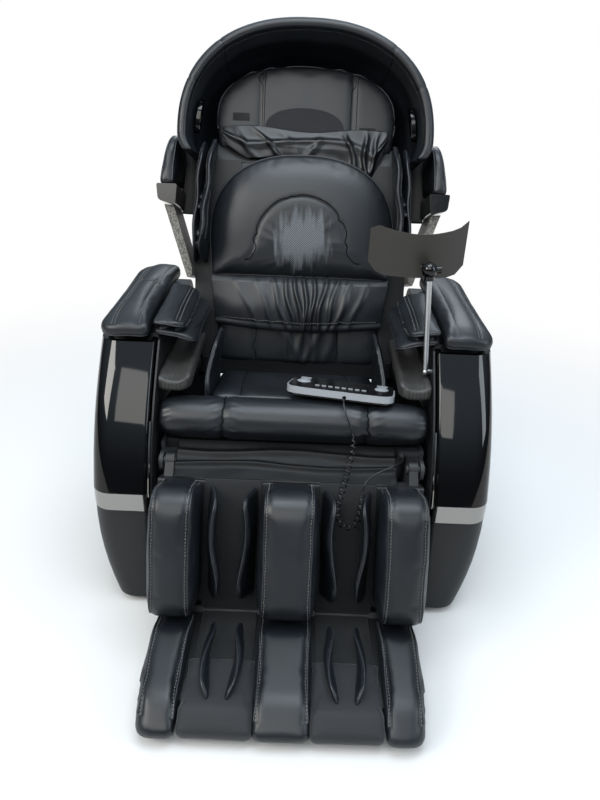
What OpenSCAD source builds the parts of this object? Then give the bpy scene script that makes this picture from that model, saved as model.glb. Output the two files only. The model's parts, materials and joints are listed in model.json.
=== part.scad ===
// Full-body massage chair: reclining hooded back with a travelling roller carriage,
// lifting calf rest with a sliding foot rest, air cells, and a wired remote control.
// Millimetres. +Z up, +Y towards the back of the chair, +X to the sitter's left.
// Depths (y) are measured from the middle of the seat, heights (z) from the floor.

/* [Overall] */
// Outside width over the two arms
arm_span = 900; // [880:5:930]
// Clear width between the two arms
seat_gap = 624; // [616:2:630]
// Gap left between a soft part and its neighbour
soft_gap = 1.5; // [1:0.5:2.5]

/* [Base] */
// Height of the rubber feet
foot_h = 18; // [14:1:22]
// Width of a base rail
rail_w = 50; // [44:2:56]
// Height of a base rail
rail_h = 30; // [26:1:34]
// Wall of the steel rails
rail_wall = 2.5; // [2:0.5:3.5]
// Front end of the base rails
rail_front = -250; // [-260:5:-240]
// Rear end of the base rails
rail_rear = 360; // [355:5:370]
// Radius of a rear transport wheel
wheel_r = 34; // [30:1:36]
// Width of a rear transport wheel
wheel_w = 26; // [22:1:30]
// Radius of the pin that a wheel turns on
wheel_pin_r = 6; // [5:0.5:8]

/* [Arms] */
// Depth of the top front edge of an arm
arm_front_y = -152; // [-160:2:-144]
// Height of the top front edge of an arm, under its cushion
arm_front_z = 584; // [578:2:590]
// Depth of the lowest front edge of an arm's glossy panel
toe_y = -322; // [-330:2:-314]
// Height of the lowest front edge of an arm's glossy panel
toe_z = 286; // [280:2:292]
// Depth of the rear end of an arm
arm_rear_y = 320; // [314:2:326]
// Height of the rear top of an arm, under its cushion
arm_rear_z = 618; // [612:2:624]
// Wall of the arm shells
arm_wall = 4; // [3:0.5:5]
// Thickness of the glossy front panel
gloss_t = 12; // [10:1:14]
// Height of the bright band under the glossy panel
band_h = 44; // [40:1:48]
// Thickness of an arm cushion
arm_pad_t = 56; // [50:1:60]
// Height of a skirt's bottom edge
skirt_z = 16; // [12:1:20]

/* [Seat] */
// Height of the seat cushion's top at the front
seat_front_z = 462; // [458:1:466]
// Slope of the seat cushion, down towards the back
seat_slope = 9; // [7:0.5:10]
// Thickness of the seat cushion
seat_pad_t = 66; // [60:1:68]
// Width of the seat cushion
seat_pad_w = 404; // [400:2:408]
// Diameter of the bolster along the seat's front edge
bolster_d = 108; // [104:1:110]

/* [Legs] */
// Height of the leg rest's hinge
knee_z = 335; // [332:1:338]
// Depth of the leg rest's hinge
knee_y = -250; // [-253:1:-247]
// Lean of the leg rest at rest, from upright
leg_lean = 21; // [20:0.5:22]
// Width of the calf section
calf_w = 590; // [582:2:598]
// Width of the foot section
foot_w = 560; // [552:2:566]
// How far the calf pads stand in front of the hinge
calf_reach = 189; // [184:1:192]
// Length of the calf pads
calf_len = 282; // [278:1:284]
// Radius of the two hinge shafts
shaft_r = 12; // [10:0.5:13]
// Running clearance of a shaft in its bore, on the radius
run_gap = 0.05; // [0.03:0.01:0.08]

/* [Back] */
// Height of the foot of the back's front surface
back_z = 400; // [396:1:404]
// Depth of the foot of the back's front surface
back_y = 100; // [97:1:103]
// Lean of the back at rest, from upright
back_lean = 16.7; // [16:0.1:17.4]
// Width of the back shell
shell_w = 566; // [560:2:572]
// Wall of the back shell
shell_wall = 4; // [3:0.5:5]
// Width of the back pad
back_pad_w = 484; // [478:2:490]
// Half the width of the hood
hood_r = 310; // [306:1:314]
// Height of the hood's rim above the foot of the back
hood_top = 874; // [868:1:880]
// Thickness of the hood's padded wall
hood_t = 26; // [22:1:28]

/* [Massage carriage] */
// Radius of the two guide rods
rod_r = 8; // [7:0.5:9]
// Distance between the two guide rods
rod_gap = 260; // [250:2:270]
// Radius of a massage roller
roller_r = 32; // [28:1:34]

/* [Remote] */
// Width of the remote control
remote_w = 246; // [240:2:252]
// Depth of the remote control, front to back
remote_d = 104; // [100:1:108]
// Thickness of the remote control at its front edge
remote_t = 18; // [16:1:20]
// Diameter of the remote's cord
cord_d = 3.6; // [3.4:0.1:3.8]
// Outside diameter of the cord's curls
curl_d = 15.5; // [15:0.5:16]
// Number of curls in the cord
curls = 23; // [22:1:26]

/* [Hidden] */

leather = "#17181b";
gloss = "#050506";
chrome = "#c9ccd0";
steel = "#5b5e63";
plastic = "#202124";
grey = "#4a4a48";
silver = "#b9bcc2";

arm_in = seat_gap / 2;          // inner face of an arm, from the chair's middle
arm_out = arm_span / 2;
rail_x = 285;                   // middle of a base rail
datum_y = 123;                  // puts the origin under the middle of the whole chair

// ---------------------------------------------------------------- outlines
function unit(v) = v / norm(v);
function edge_out(a, b) = unit([b[1] - a[1], a[0] - b[0]]);
// An outline moved inwards by d. Outlines run counter-clockwise.
function inset(o, d) = let (n = len(o)) [for (i = [0 : n - 1])
  let (u = edge_out(o[(i + n - 1) % n], o[i]), v = edge_out(o[i], o[(i + 1) % n]))
  o[i] - (u + v) * d / (1 + u * v)];
function corner(a, b, c, r, n) = let (
    u = unit(a - b), v = unit(c - b), half = acos(u * v) / 2,
    o = b + unit(u + v) * r / sin(half),
    p = b + u * r / tan(half) - o, q = b + v * r / tan(half) - o,
    a0 = atan2(p[1], p[0]), turn = (atan2(q[1], q[0]) - a0 + 540) % 360 - 180)
  [for (i = [0 : n]) o + r * [cos(a0 + turn * i / n), sin(a0 + turn * i / n)]];
// Corners given as [x, y, radius] become an outline with round corners of n steps.
function rounded(c, n = 4) = let (m = len(c)) [for (i = [0 : m - 1])
  let (a = c[(i + m - 1) % m], b = c[i], d = c[(i + 1) % m])
  each b[2] > 0 ? corner([a[0], a[1]], [b[0], b[1]], [d[0], d[1]], b[2], n) : [[b[0], b[1]]]];
function middle(o) = [for (k = [0, 1]) (max([for (p = o) p[k]]) + min([for (p = o) p[k]])) / 2];
function mix(a, b, t) = a + (b - a) * t;
function clamp01(t) = max(0, min(1, t));

// ---------------------------------------------------------------- closed forms
// The faces between rings of n points, m rings, counted from point s.
function ring_sides(n, m, s = 0) = [for (k = [0 : m - 2]) for (i = [0 : n - 1])
  let (a = s + k * n + i, b = s + k * n + (i + 1) % n, c = b + n, d = a + n)
  each [[a, d, c], [a, c, b]]];
// A closed body through rings of equal length, ended by a point at each end.
module loft(rings, first, last) {
  n = len(rings[0]);
  m = len(rings);
  caps = [for (i = [0 : n - 1]) let (j = (i + 1) % n)
    each [[n * m, i, j], [n * m + 1, (m - 1) * n + j, (m - 1) * n + i]]];
  polyhedron(concat([for (r = rings) each r], [first, last]), concat(ring_sides(n, m), caps),
    convexity = 6);
}
// The same through bands: each ring runs out along one face of a wall and back along the other.
module band_loft(rings) {
  n = len(rings[0]);
  m = len(rings);
  top = (m - 1) * n;
  caps = [for (i = [0 : n / 2 - 2]) let (j = i + 1, k = n - 1 - i, l = n - 2 - i)
    each [[i, j, l], [i, l, k], [top + l, top + j, top + i], [top + k, top + l, top + i]]];
  polyhedron([for (r = rings) each r], concat(ring_sides(n, m), caps), convexity = 6);
}

// A padded form: its outline, its thickness t, the roll of its edge and the crown of its faces.
// place puts [along, across, thickness] where the form sits. full adds a ring to each face.
// heart_at is where a bent form's faces meet, where that isn't its middle.
module pad(outline, t, edge, crown, place, full = false, heart_at = undef) {
  c = is_undef(heart_at) ? middle(outline) : heart_at;
  inner = inset(outline, edge);
  heart = [for (p = inner) c + (p - c) * 0.58];
  ring = function (o, w) [for (p = o) place([p[0], p[1], w])];
  loft(
    concat(
      full ? [ring(heart, crown * 0.25)] : [],
      [ring(inner, crown), ring(outline, crown + edge), ring(outline, t - crown - edge),
       ring(inner, t - crown)],
      full ? [ring(heart, t - crown * 0.25)] : []),
    place([c[0], c[1], 0]), place([c[0], c[1], t]));
}

// A tube of radius r along points, with the given number of sides.
module tube(points, r, sides) {
  n = len(points);
  dir = [for (i = [0 : n - 1]) unit(points[min(i + 1, n - 1)] - points[max(i - 1, 0)])];
  function carried(i) = i == 0
    ? unit(cross(dir[0], abs(dir[0][0]) < 0.8 ? [1, 0, 0] : [0, 1, 0]))
    : let (v = carried(i - 1)) unit(v - dir[i] * (v * dir[i]));
  loft([for (i = [0 : n - 1]) let (u = carried(i), v = cross(dir[i], u))
      [for (k = [0 : sides - 1]) points[i] + r * (u * cos(360 * k / sides) + v * sin(360 * k / sides))]],
    points[0], points[n - 1]);
}

// An outline in depth and height, given width from x0 to x1.
module along_x(x0, x1) { translate([x0, 0, 0]) rotate([90, 0, 90]) linear_extrude(x1 - x0) children(); }
// An outline in width and height, given depth from y0 to y1.
module along_y(y0, y1) { translate([0, y1, 0]) rotate([90, 0, 0]) linear_extrude(y1 - y0) children(); }
module block(a, b) { translate(a) cube(b - a); }
module rod_x(x0, x1, y, z, r) { translate([x0, y, z]) rotate([0, 90, 0]) cylinder(r = r, h = x1 - x0, $fn = 64); }
module each_side() { children(); mirror([1, 0, 0]) children(); }
module whole() { translate([0, datum_y, 0]) children(); }
// The back's own frame: z up along the back from its foot, y through it towards the rear.
module on_back() { translate([0, back_y, back_z]) rotate([-back_lean, 0, 0]) children(); }
// The leg rest's own frame: z up along the leg from the hinge, y through it towards the rear.
module on_leg() { translate([0, knee_y, knee_z]) rotate([-leg_lean, 0, 0]) children(); }

// ---------------------------------------------------------------- base
rail_top = foot_h + rail_h;
rail_in = rail_x - rail_w / 2;
bar_ys = [-205, 60, rail_rear - 40];
plate_x = arm_in - 20;          // inner face of the steel side plates
plate_t = 8;
wrap = 63;                      // how far the glossy panel wraps round to the arm shell
recline_y = 130;                // axis that the back reclines on
recline_z = 370;
boss_r = shaft_r + 11;
axle_z = wheel_r + 5;           // the wheels stand clear of the floor until the chair is tipped
axle_y = rail_rear + wheel_r + 4;

module base_rails() color(steel) whole() each_side() difference() {
  block([rail_in, rail_front, foot_h], [rail_in + rail_w, rail_rear, rail_top]);
  block([rail_in + rail_wall, rail_front - 1, foot_h + rail_wall],
    [rail_in + rail_w - rail_wall, rail_rear + 1, rail_top - rail_wall]);
}

module base_crossbars() color(steel) whole() {
  for (y = bar_ys) block([-rail_in, y, foot_h + 4], [rail_in, y + 40, rail_top - 4]);
  // Two ears behind the rear bar carry each wheel's pin.
  each_side() for (x = [190, 190 + wheel_w + 12]) difference() {
    along_x(x, x + 5) union() {
      polygon([[bar_ys[2] + 40, foot_h + 4], [axle_y, axle_z - 14], [axle_y, axle_z + 14],
        [bar_ys[2] + 40, rail_top - 4]]);
      translate([axle_y, axle_z]) circle(r = 14, $fn = 48);
    }
    rod_x(x - 1, x + 6, axle_y, axle_z, wheel_pin_r);
  }
  each_side() rod_x(190, 195 + wheel_w + 12, axle_y, axle_z, wheel_pin_r);
}

module base_feet() color(plastic) whole() each_side() for (y = [rail_front + 30, rail_rear - 30])
  translate([rail_x, y, 0]) {
    cylinder(r1 = 17, r2 = 20, h = 4, $fn = 48);
    translate([0, 0, 4]) cylinder(r = 20, h = foot_h - 4, $fn = 48);
  }

module rear_wheel() whole() difference() {
  rotate_wheel() rotate_extrude($fn = 96) difference() {
    polygon(rounded([[wheel_pin_r + run_gap, 0, 0], [16, 0, 1], [18, 4, 1], [wheel_r - 9, 4, 1],
      [wheel_r - 7, 0, 1], [wheel_r, 0, 4], [wheel_r, wheel_w, 4], [wheel_r - 7, wheel_w, 1],
      [wheel_r - 9, wheel_w - 4, 1], [18, wheel_w - 4, 1], [16, wheel_w, 1],
      [wheel_pin_r + run_gap, wheel_w, 0]]));
  }
}
module rotate_wheel() { translate([195 + 6, axle_y, axle_z]) rotate([0, 90, 0]) children(); }
module rear_wheel_left() color(plastic) rear_wheel();
module rear_wheel_right() color(plastic) mirror([1, 0, 0]) rear_wheel();

// The control box stands on the rear crossbar, its inlet and switch facing backwards.
box_y = bar_ys[2] - 20;
box_z = rail_top - 4;
switch_x = 46;
module control_box() color(plastic) whole() difference() {
  translate([-110, box_y, box_z]) linear_extrude(86) polygon(rounded([[0, 0, 6], [220, 0, 6],
    [220, 62, 6], [0, 62, 6]]));
  // Three-pin mains inlet: a six-sided recess with three pins left standing.
  difference() {
    along_y(box_y + 44, box_y + 63) translate([-60, box_z + 43]) polygon([[-14, -10], [14, -10],
      [14, 4], [8, 10], [-8, 10], [-14, 4]]);
    for (x = [-7, 0, 7]) block([-61 + x, box_y + 44, box_z + (x == 0 ? 45 : 38)],
      [-59 + x, box_y + 58, box_z + (x == 0 ? 50 : 43)]);
  }
  // Window of the rocker switch, and the sockets for its two pivots.
  block([switch_x - 10.5, box_y + 40, box_z + 31], [switch_x + 10.5, box_y + 63, box_z + 55]);
  rod_x(switch_x - 13, switch_x + 13, box_y + 56, box_z + 43, 2 + run_gap);
  // Row of cooling slots at each end.
  each_side() for (k = [0 : 6]) block([94, box_y + 12, box_z + 14 + 9 * k],
    [111, box_y + 50, box_z + 18 + 9 * k]);
}

module power_switch() color(leather) whole() {
  along_x(switch_x - 9.5, switch_x + 9.5) polygon([[box_y + 51, box_z + 33.5], [box_y + 64, box_z + 33.5],
    [box_y + 60.5, box_z + 43], [box_y + 64, box_z + 52.5], [box_y + 51, box_z + 52.5]]);
  rod_x(switch_x - 12.5, switch_x + 12.5, box_y + 56, box_z + 43, 2);
}

// The pump block that feeds the air cells: a motor between two valve heads.
pump_y = -60;
module air_pump() color(grey) whole() translate([-60, pump_y, rail_top - 4]) {
  block([0, -112, 0], [120, 124, 8]);
  translate([60, 6, 46]) rotate([-90, 0, 0]) cylinder(r = 34, h = 76, $fn = 64);
  for (y = [-34, 82]) block([20, y, 8], [100, y + 40, 90]);
  for (k = [0 : 4]) translate([32 + 14 * k, -34, 72]) rotate([90, 0, 0]) cylinder(r = 4, h = 16, $fn = 24);
}

// Two screw drives lift the legs and recline the back; each is a motor head and a tube.
module screw_drive(a, b, x) {
  along = b - a;
  len_ = norm(along);
  translate([x, a[0], a[1]]) rotate([atan2(along[1], along[0]), 0, 0]) {
    rotate([-90, 0, 0]) cylinder(r = 16, h = len_ * 0.62, $fn = 48);
    rotate([-90, 0, 0]) cylinder(r = 9, h = len_, $fn = 48);
    translate([-24, 10, -26]) cube([48, 70, 22]);
  }
}
module actuators() color(steel) whole() {
  screw_drive([bar_ys[1] + 5, rail_top + 22], [-212, 226], -150);
  screw_drive([bar_ys[1] + 35, rail_top + 22], [170, 226], 150);
  for (x = [-150, 150]) block([x - 18, bar_ys[1] + 4, rail_top - 4], [x + 18, bar_ys[1] + 36, rail_top + 12]);
}

// ---------------------------------------------------------------- arms
// Depth of an arm's front face at height z: it leans out towards the toe and bows forward.
function front_y(z) = let (t = (arm_front_z - z) / (arm_front_z - toe_z))
  mix(arm_front_y, toe_y, t) - 26 * sin(180 * clamp01(t));
skirt_top = toe_z - band_h;
// The front of a skirt leans on forward from under the bright band.
function skirt_y(z) = toe_y + 4 - (skirt_top - z) * 0.14;
// The outside of an arm draws in below the band.
function outer_x(z) = z > skirt_top ? arm_out : arm_out - 44 * pow((skirt_top - z) / (skirt_top - skirt_z), 2);

// Plan of a wall t thick that runs round an arm's front, from depth a on the inner face
// to depth b on the outer face.
function front_band(y, x1, t, a, b, d = 0) = let (
    x0 = arm_in + 8 + d, x2 = x1 - d, y0 = y + d,
    run = concat([[x0, a]], corner([x0, a], [x0, y0], [x2, y0], 10 - min(d, 7), 3),
      corner([x0, y0], [x2, y0], [x2, b], 46 - d, 6), [[x2, b]]),
    back = concat([[x0 + t, a]], corner([x0 + t, a], [x0 + t, y0 + t], [x2 - t, y0 + t], 2.5, 3),
      corner([x0 + t, y0 + t], [x2 - t, y0 + t], [x2 - t, b], 34 - d, 6), [[x2 - t, b]]))
  concat(run, [for (i = [len(back) - 1 : -1 : 0]) back[i]]);
function at_z(ring, z) = [for (p = ring) [p[0], p[1], z]];

module arm_front() whole() {
  steps = 8;
  band_loft([for (k = [0 : steps]) let (z = mix(toe_z, arm_front_z, k / steps), y = front_y(z))
    at_z(front_band(y, arm_out, gloss_t, y + 34, y + wrap), z)]);
}
module arm_front_left() color(gloss) arm_front();
module arm_front_right() color(gloss) mirror([1, 0, 0]) arm_front();

// The bright band under each glossy panel, and the thin trim that runs up its inner edge.
module chrome_bands() color(chrome) whole() each_side() {
  band_loft([for (k = [0 : 1]) let (z = mix(toe_z, skirt_top, 1 - k))
    at_z(front_band(toe_y, arm_out, gloss_t, toe_y + 30, toe_y + wrap), z)]);
  tube(concat([[arm_in + 14, toe_y + 16, toe_z - 16], [arm_in + 5.2, toe_y + 8, toe_z - 10]],
    [for (k = [0 : 4]) let (z = mix(toe_z + 4, toe_z + 150, k / 4)) [arm_in + 5.2, front_y(z) + 5 + k, z]]), 2.6, 8);
}

module skirts() color(plastic) whole() each_side() {
  steps = 6;
  rear = arm_rear_y + 40;
  band_loft([for (k = [0 : steps]) let (z = mix(skirt_z, skirt_top, k / steps))
    at_z(front_band(skirt_y(z), outer_x(z), arm_wall, rear - arm_wall, rear - arm_wall), z)]);
  along_y(rear - arm_wall, rear) polygon(concat([[arm_in + 8, skirt_top], [arm_in + 8, skirt_z]],
    [for (k = [0 : steps]) let (z = mix(skirt_z, skirt_top, k / steps)) [outer_x(z), z]]));
}

// The side shell of an arm: outer and inner walls, closed at the top and rear, open below.
// Its front starts back from the glossy panel's face.
function arm_outline(back, d) = inset(rounded(concat(
  [[arm_rear_y + 40, skirt_top, 0], [arm_rear_y, arm_rear_z, 60]],
  [[arm_front_y + back, arm_front_z + back * tan(arm_tilt), 0]],
  [for (k = [8 : -1 : 0]) let (z = mix(toe_z, arm_front_z, k / 8)) [front_y(z) + back, z, 0]],
  [[toe_y + back, skirt_top, 0]])), d);
module arm_side() whole() {
  // Inner wall, which reaches forward beside the panel's return.
  along_x(arm_in, arm_in + arm_wall) polygon(arm_outline(gloss_t + 2, 0));
  difference() {
    along_x(arm_in + arm_wall, arm_out) polygon(arm_outline(wrap, 0));
    along_x(arm_in + arm_wall, arm_out - arm_wall) difference() {
      polygon(arm_outline(wrap, arm_wall));
      // Two ribs stiffen the shell across.
      for (y = [-90, 130]) translate([y, skirt_top]) square([arm_wall, 500]);
    }
    // The shell is open below.
    block([arm_in + arm_wall, toe_y + wrap + 12, skirt_top - 1], [arm_out - arm_wall, arm_rear_y + 30, skirt_top + 9]);
  }
}
module arm_side_left() color(plastic) {
  difference() {
    union() {
      arm_side();
      // Socket that the controller stand's leg turns in.
      whole() rod_x(arm_in, arm_in + 26, mast_y, mast_z, mast_r + 3);
    }
    whole() rod_x(arm_in - 1, arm_in + 27, mast_y, mast_z, mast_r + run_gap);
  }
}
module arm_side_right() color(plastic) mirror([1, 0, 0]) arm_side();

// Where an arm's top surface runs: its angle, and a frame on it with y along the arm.
arm_tilt = atan2(arm_rear_z - arm_front_z, arm_rear_y - arm_front_y);
module on_arm() { translate([0, arm_front_y, arm_front_z]) rotate([arm_tilt, 0, 0]) children(); }
arm_len = norm([arm_rear_z - arm_front_z, arm_rear_y - arm_front_y]);

module arm_cushion() whole() on_arm() {
  flat = function (p) p;
  // The cushion, its front nose rolled down and its outer edge drawn in.
  nose = function (p) let (e = clamp01((34 - p[1]) / 60), w = clamp01((p[0] - arm_in - 70) / 68))
    [p[0] - 5 * w * w * p[2] / arm_pad_t, p[1] + 12 * e * p[2] / arm_pad_t, p[2] * (1 - 0.16 * e - 0.22 * w * w)];
  pad(rounded([[arm_in + 22, -8, 16], [arm_out - 1, -8, 40], [arm_out - 1, arm_len - 40, 70],
    [arm_in + 22, arm_len - 40, 30]], 4), arm_pad_t, 12, 9, nose);
}
module arm_cushion_left() color(leather) arm_cushion();
module arm_cushion_right() color(leather) mirror([1, 0, 0]) arm_cushion();

// The air cell over the forearm: two leaves folded along the arm, one on the other.
cell_w = 82;
cell_len = 250;
cell_start = 22;
module forearm_cell() whole() on_arm() {
  sag = function (p) [p[0], p[1], p[2] - 14 * pow((arm_in + 20 - p[0]) / cell_w, 2)];
  for (k = [0, 1]) translate([0, 0, -1.7 + 26.5 * k])
    pad(rounded([[arm_in - cell_w + 24 * k, cell_start, 30], [arm_in + 19, cell_start, 8],
      [arm_in + 19, cell_start + cell_len, 8], [arm_in - cell_w + 24 * k, cell_start + cell_len, 40]], 2), 26, 7, 5, sag);
}
module forearm_cell_left() color(leather) forearm_cell();
module forearm_cell_right() color(leather) mirror([1, 0, 0]) forearm_cell();

// The perforated pad that the hand and forearm lie on, dished along its middle.
bed_z = 496;
module forearm_beds() color(grey) whole() each_side()
  translate([0, 0, bed_z]) {
    dish = function (p) [p[0], p[1], p[2] + 16 * pow((p[0] - 276) / 36, 2) * p[2] / 30 + 0.08 * p[1]];
    pad(rounded([[arm_in - 76, -196, 26], [arm_in, -196, 10], [arm_in, 70, 6],
      [arm_in - 76, 70, 20]], 2), 30, 6, 3, dish);
  }

// ---------------------------------------------------------------- controller stand
mast_r = 6.4;
mast_lean = 5;                  // the mast leans in towards the sitter
mast_x = 299;
mast_y = -144;
mast_z = 536;
mast_len = 237;
module on_mast(up = 0) {
  translate([mast_x, mast_y, mast_z]) rotate([0, -mast_lean, 0]) translate([0, 0, up]) children();
}
// A short leg turns in the arm's socket; a ball joins it to the long leg that stands up from it.
module stand_mast() color(silver) whole() {
  rod_x(mast_x, arm_in + 24, mast_y, mast_z, mast_r);
  translate([mast_x, mast_y, mast_z]) sphere(r = mast_r + 1.6, $fn = 64);
  on_mast() cylinder(r = mast_r, h = mast_len, $fn = 64);
}

// A ball that turns on the mast, with a fork that holds the plate's tilting barrel.
ball_r = 17;
barrel_y = 32;
module stand_knuckle() color(leather) whole() on_mast(mast_len) difference() {
  union() {
    sphere(r = ball_r, $fn = 48);
    translate([0, 0, -ball_r - 5]) cylinder(r = 11, h = 14, $fn = 48);
    rotate([-90, 0, 0]) cylinder(r = 9, h = ball_r + 3, $fn = 48);
    rod_x(0, ball_r + 8, 0, 0, 8);
    block([-12, ball_r + 2, -8], [12, ball_r + 6, 8]);
    each_side() block([7, ball_r + 5, -6], [12, barrel_y + 5, 6]);
  }
  translate([0, 0, -ball_r - 6]) cylinder(r = mast_r + run_gap, h = ball_r + 6.3, $fn = 64);
  rod_x(-13, 13, barrel_y, 0, 3);
}
// The curved plate: hollow towards the sitter, a deep scoop along its top edge, one raised tip.
holder_w = 214;
holder_h = 112;
holder_t = 3;
module stand_plate() color(grey) whole() on_mast(mast_len) {
  translate([0, barrel_y + 10, 0]) rotate([0, mast_lean, 0]) translate([-19, 0, 27]) {
    rows = 5;
    cols = 12;
    top = function (u) holder_h / 2 - 17 * sin(180 * u) + 110 * max(0, u - 0.9) - 170 * max(0, 0.08 - u);
    bottom = function (u) -holder_h / 2 + 26 * pow(abs(2 * u - 1), 8);
    face = function (u, v, d) [(u - 0.5) * holder_w, 30 * (pow(2 * u - 1, 2) - pow(0.32, 2)) + d + 2,
      mix(bottom(u), top(u), v)];
    band_loft([for (i = [0 : cols]) let (u = i / cols) concat(
      [for (j = [0 : rows]) face(u, j / rows, holder_t)], [for (j = [rows : -1 : 0]) face(u, j / rows, 0)])]);
  }
  // Barrel between the fork's cheeks, its pin, and the foot screwed to the plate.
  rod_x(-6.5, 6.5, barrel_y, 0, 6.5);
  rod_x(-14, 14, barrel_y, 0, 3 - run_gap);
  block([-6.5, barrel_y, -5], [6.5, barrel_y + 12.5, 5]);
}

// ---------------------------------------------------------------- seat
seat_y = -140;
module on_seat() { translate([0, seat_y, seat_front_z]) rotate([-seat_slope, 0, 0]) children(); }
pan_t = 10;
pan_z = -seat_pad_t - pan_t;    // underside of the pan, in the seat's own frame
tie_r = 13;
tie_ys = [30, 205];
function seat_point(y, z) = [seat_y + y * cos(seat_slope) + z * sin(seat_slope),
  seat_front_z - y * sin(seat_slope) + z * cos(seat_slope)];

module seat_frame() color(steel) whole() {
  // Pan under the cushion, on two tubes between the side plates.
  on_seat() block([-plate_x, 4, pan_z], [plate_x, 236, pan_z + pan_t]);
  for (y = tie_ys) let (p = seat_point(y, pan_z - tie_r)) rod_x(-plate_x, plate_x, p[0], p[1], tie_r);
  bolster_low = bolster_z - bolster_d / 2 * 0.92;
  block([-plate_x, bolster_y - 16, bolster_low - 24], [plate_x, bolster_y + 16, bolster_low]);
  block([relief_at[0] - 7, relief_at[1] + 16, relief_at[2] - 6], [plate_x, relief_at[1] + 24, relief_at[2] + 6]);
  each_side() difference() {
    union() {
      along_x(plate_x, plate_x + plate_t) union() {
        polygon([[-228, rail_top], [-160, rail_top], [-118, 250], [-70, 292], [30, 286], [74, 236], [96, rail_top],
          [176, rail_top], [recline_y + boss_r, recline_z], [recline_y - 10, recline_z + boss_r - 2], [-100, 378],
          [-238, 376], [-238, 350]]);
        translate([knee_y, knee_z]) circle(r = boss_r, $fn = 64);
        translate([recline_y, recline_z]) circle(r = boss_r, $fn = 64);
        polygon([[knee_y, knee_z - boss_r], [-200, 300], [-200, 350], [knee_y, knee_z + boss_r]]);
      }
      // Lugs that the arm shells are screwed to, and the bracket of the cord's strain relief.
      for (y = [-150, 70]) block([plate_x + plate_t, y, 300], [arm_in, y + 30, 330]);
      // Foot of the plate, bolted down on the rail.
      for (y = [-228, 96]) block([rail_in + 4, y, rail_top], [plate_x + plate_t, y + 66, rail_top + 6]);
      rod_x(plate_x - 30, plate_x + plate_t + 4, knee_y, knee_z, shaft_r);
      rod_x(plate_x - 34, plate_x + plate_t + 4, recline_y, recline_z, shaft_r);
    }
    for (y = [-190, 128]) translate([plate_x + 4, y, 150]) rotate([0, 90, 0])
      cylinder(r = 18, h = 40, center = true, $fn = 48);
  }
}

module seat_cushion() color(leather) whole() on_seat() {
  // Two shallow channels run down the cushion, inboard of its edges.
  dip = function (p) [p[0], p[1], p[2] - (p[2] > -seat_pad_t / 2 ? 5 * exp(-pow((abs(p[0]) - 130) / 14, 2)) : 0)];
  sit = function (p) dip([p[0], p[1], p[2] - seat_pad_t]);
  pad(rounded([[-seat_pad_w / 2, 9, 24], [seat_pad_w / 2, 9, 24], [seat_pad_w / 2, 232, 24],
    [-seat_pad_w / 2, 232, 24]], 4), seat_pad_t, 12, 7, sit, true);
}

// The bolster across the front: a roll with two stitched channels and puckered ends.
bolster_w = 2 * arm_in - 16;
bolster_y = seat_y - bolster_d / 2 - soft_gap;
bolster_z = seat_front_z - 41.5;
module seat_bolster() color(leather) whole() {
  sides = 10;
  xs = [0, 0.012, 0.05, 0.215, 0.24, 0.265, 0.40, 0.60, 0.74, 0.77, 0.80, 0.95, 0.988, 1];
  seam = function (u) min(exp(-pow((u - 0.24) / 0.012, 2)) + exp(-pow((u - 0.77) / 0.012, 2)), 1);
  end = function (u) pow(abs(2 * u - 1), 14);
  ring = function (u) let (r = bolster_d / 2 * (1 - 0.06 * seam(u)) - 12 * end(u))
    [for (k = [0 : sides - 1]) let (a = 360 * k / sides)
      [mix(-bolster_w / 2, bolster_w / 2, u), bolster_y + r * cos(a) * (sin(a) < -0.2 ? 0.94 : 1),
        bolster_z + r * sin(a) * (sin(a) < 0 ? 0.92 : 1)]];
  loft([for (u = xs) ring(u)], [-bolster_w / 2 - 2, bolster_y, bolster_z], [bolster_w / 2 + 2, bolster_y, bolster_z]);
}

// Thin air cells that stand at each side of the cushion and press on the hips.
module hip_cells() color(leather) whole() on_seat() each_side()
  translate([seat_pad_w / 2 + soft_gap, 0, -seat_pad_t]) {
    lean = function (p) [p[2] - 26 * pow(clamp01((p[1] - 82) / 120), 1.5), p[0], p[1]];
    pad(rounded([[26, 0, 10], [222, 0, 10], [218, 120, 50], [166, 200, 44], [88, 168, 60], [26, 74, 40]], 1),
      24, 6, 5, lean);
  }

// Cloth that closes the gap between the bolster and the leg rest, lying in long pleats.
apron_a = [-222, 377];
apron_b = [-311, 332];
module knee_apron() color(plastic) whole() {
  steps = 10;
  cols = 4;
  x0 = -arm_in + 50;
  x1 = arm_in - 76;
  line = function (u, v, d) let (p = mix(apron_a, apron_b, v), w = 4 * sin(180 * v) * sin(900 * v + 60 * sin(220 * u)))
    [mix(x0, x1, u), p[0], p[1] + w + d];
  band_loft([for (i = [0 : cols]) let (u = i / cols) concat([for (j = [steps : -1 : 0]) line(u, j / steps, -1.5)],
    [for (j = [0 : steps]) line(u, j / steps, 1.5)])]);
}

// ---------------------------------------------------------------- remote control
remote_turn = -11;
remote_tilt = -12;
remote_at = [109, -146, 469];
module on_remote() {
  translate(remote_at) rotate([0, 0, remote_turn]) rotate([remote_tilt, 0, 0]) children();
}
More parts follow.
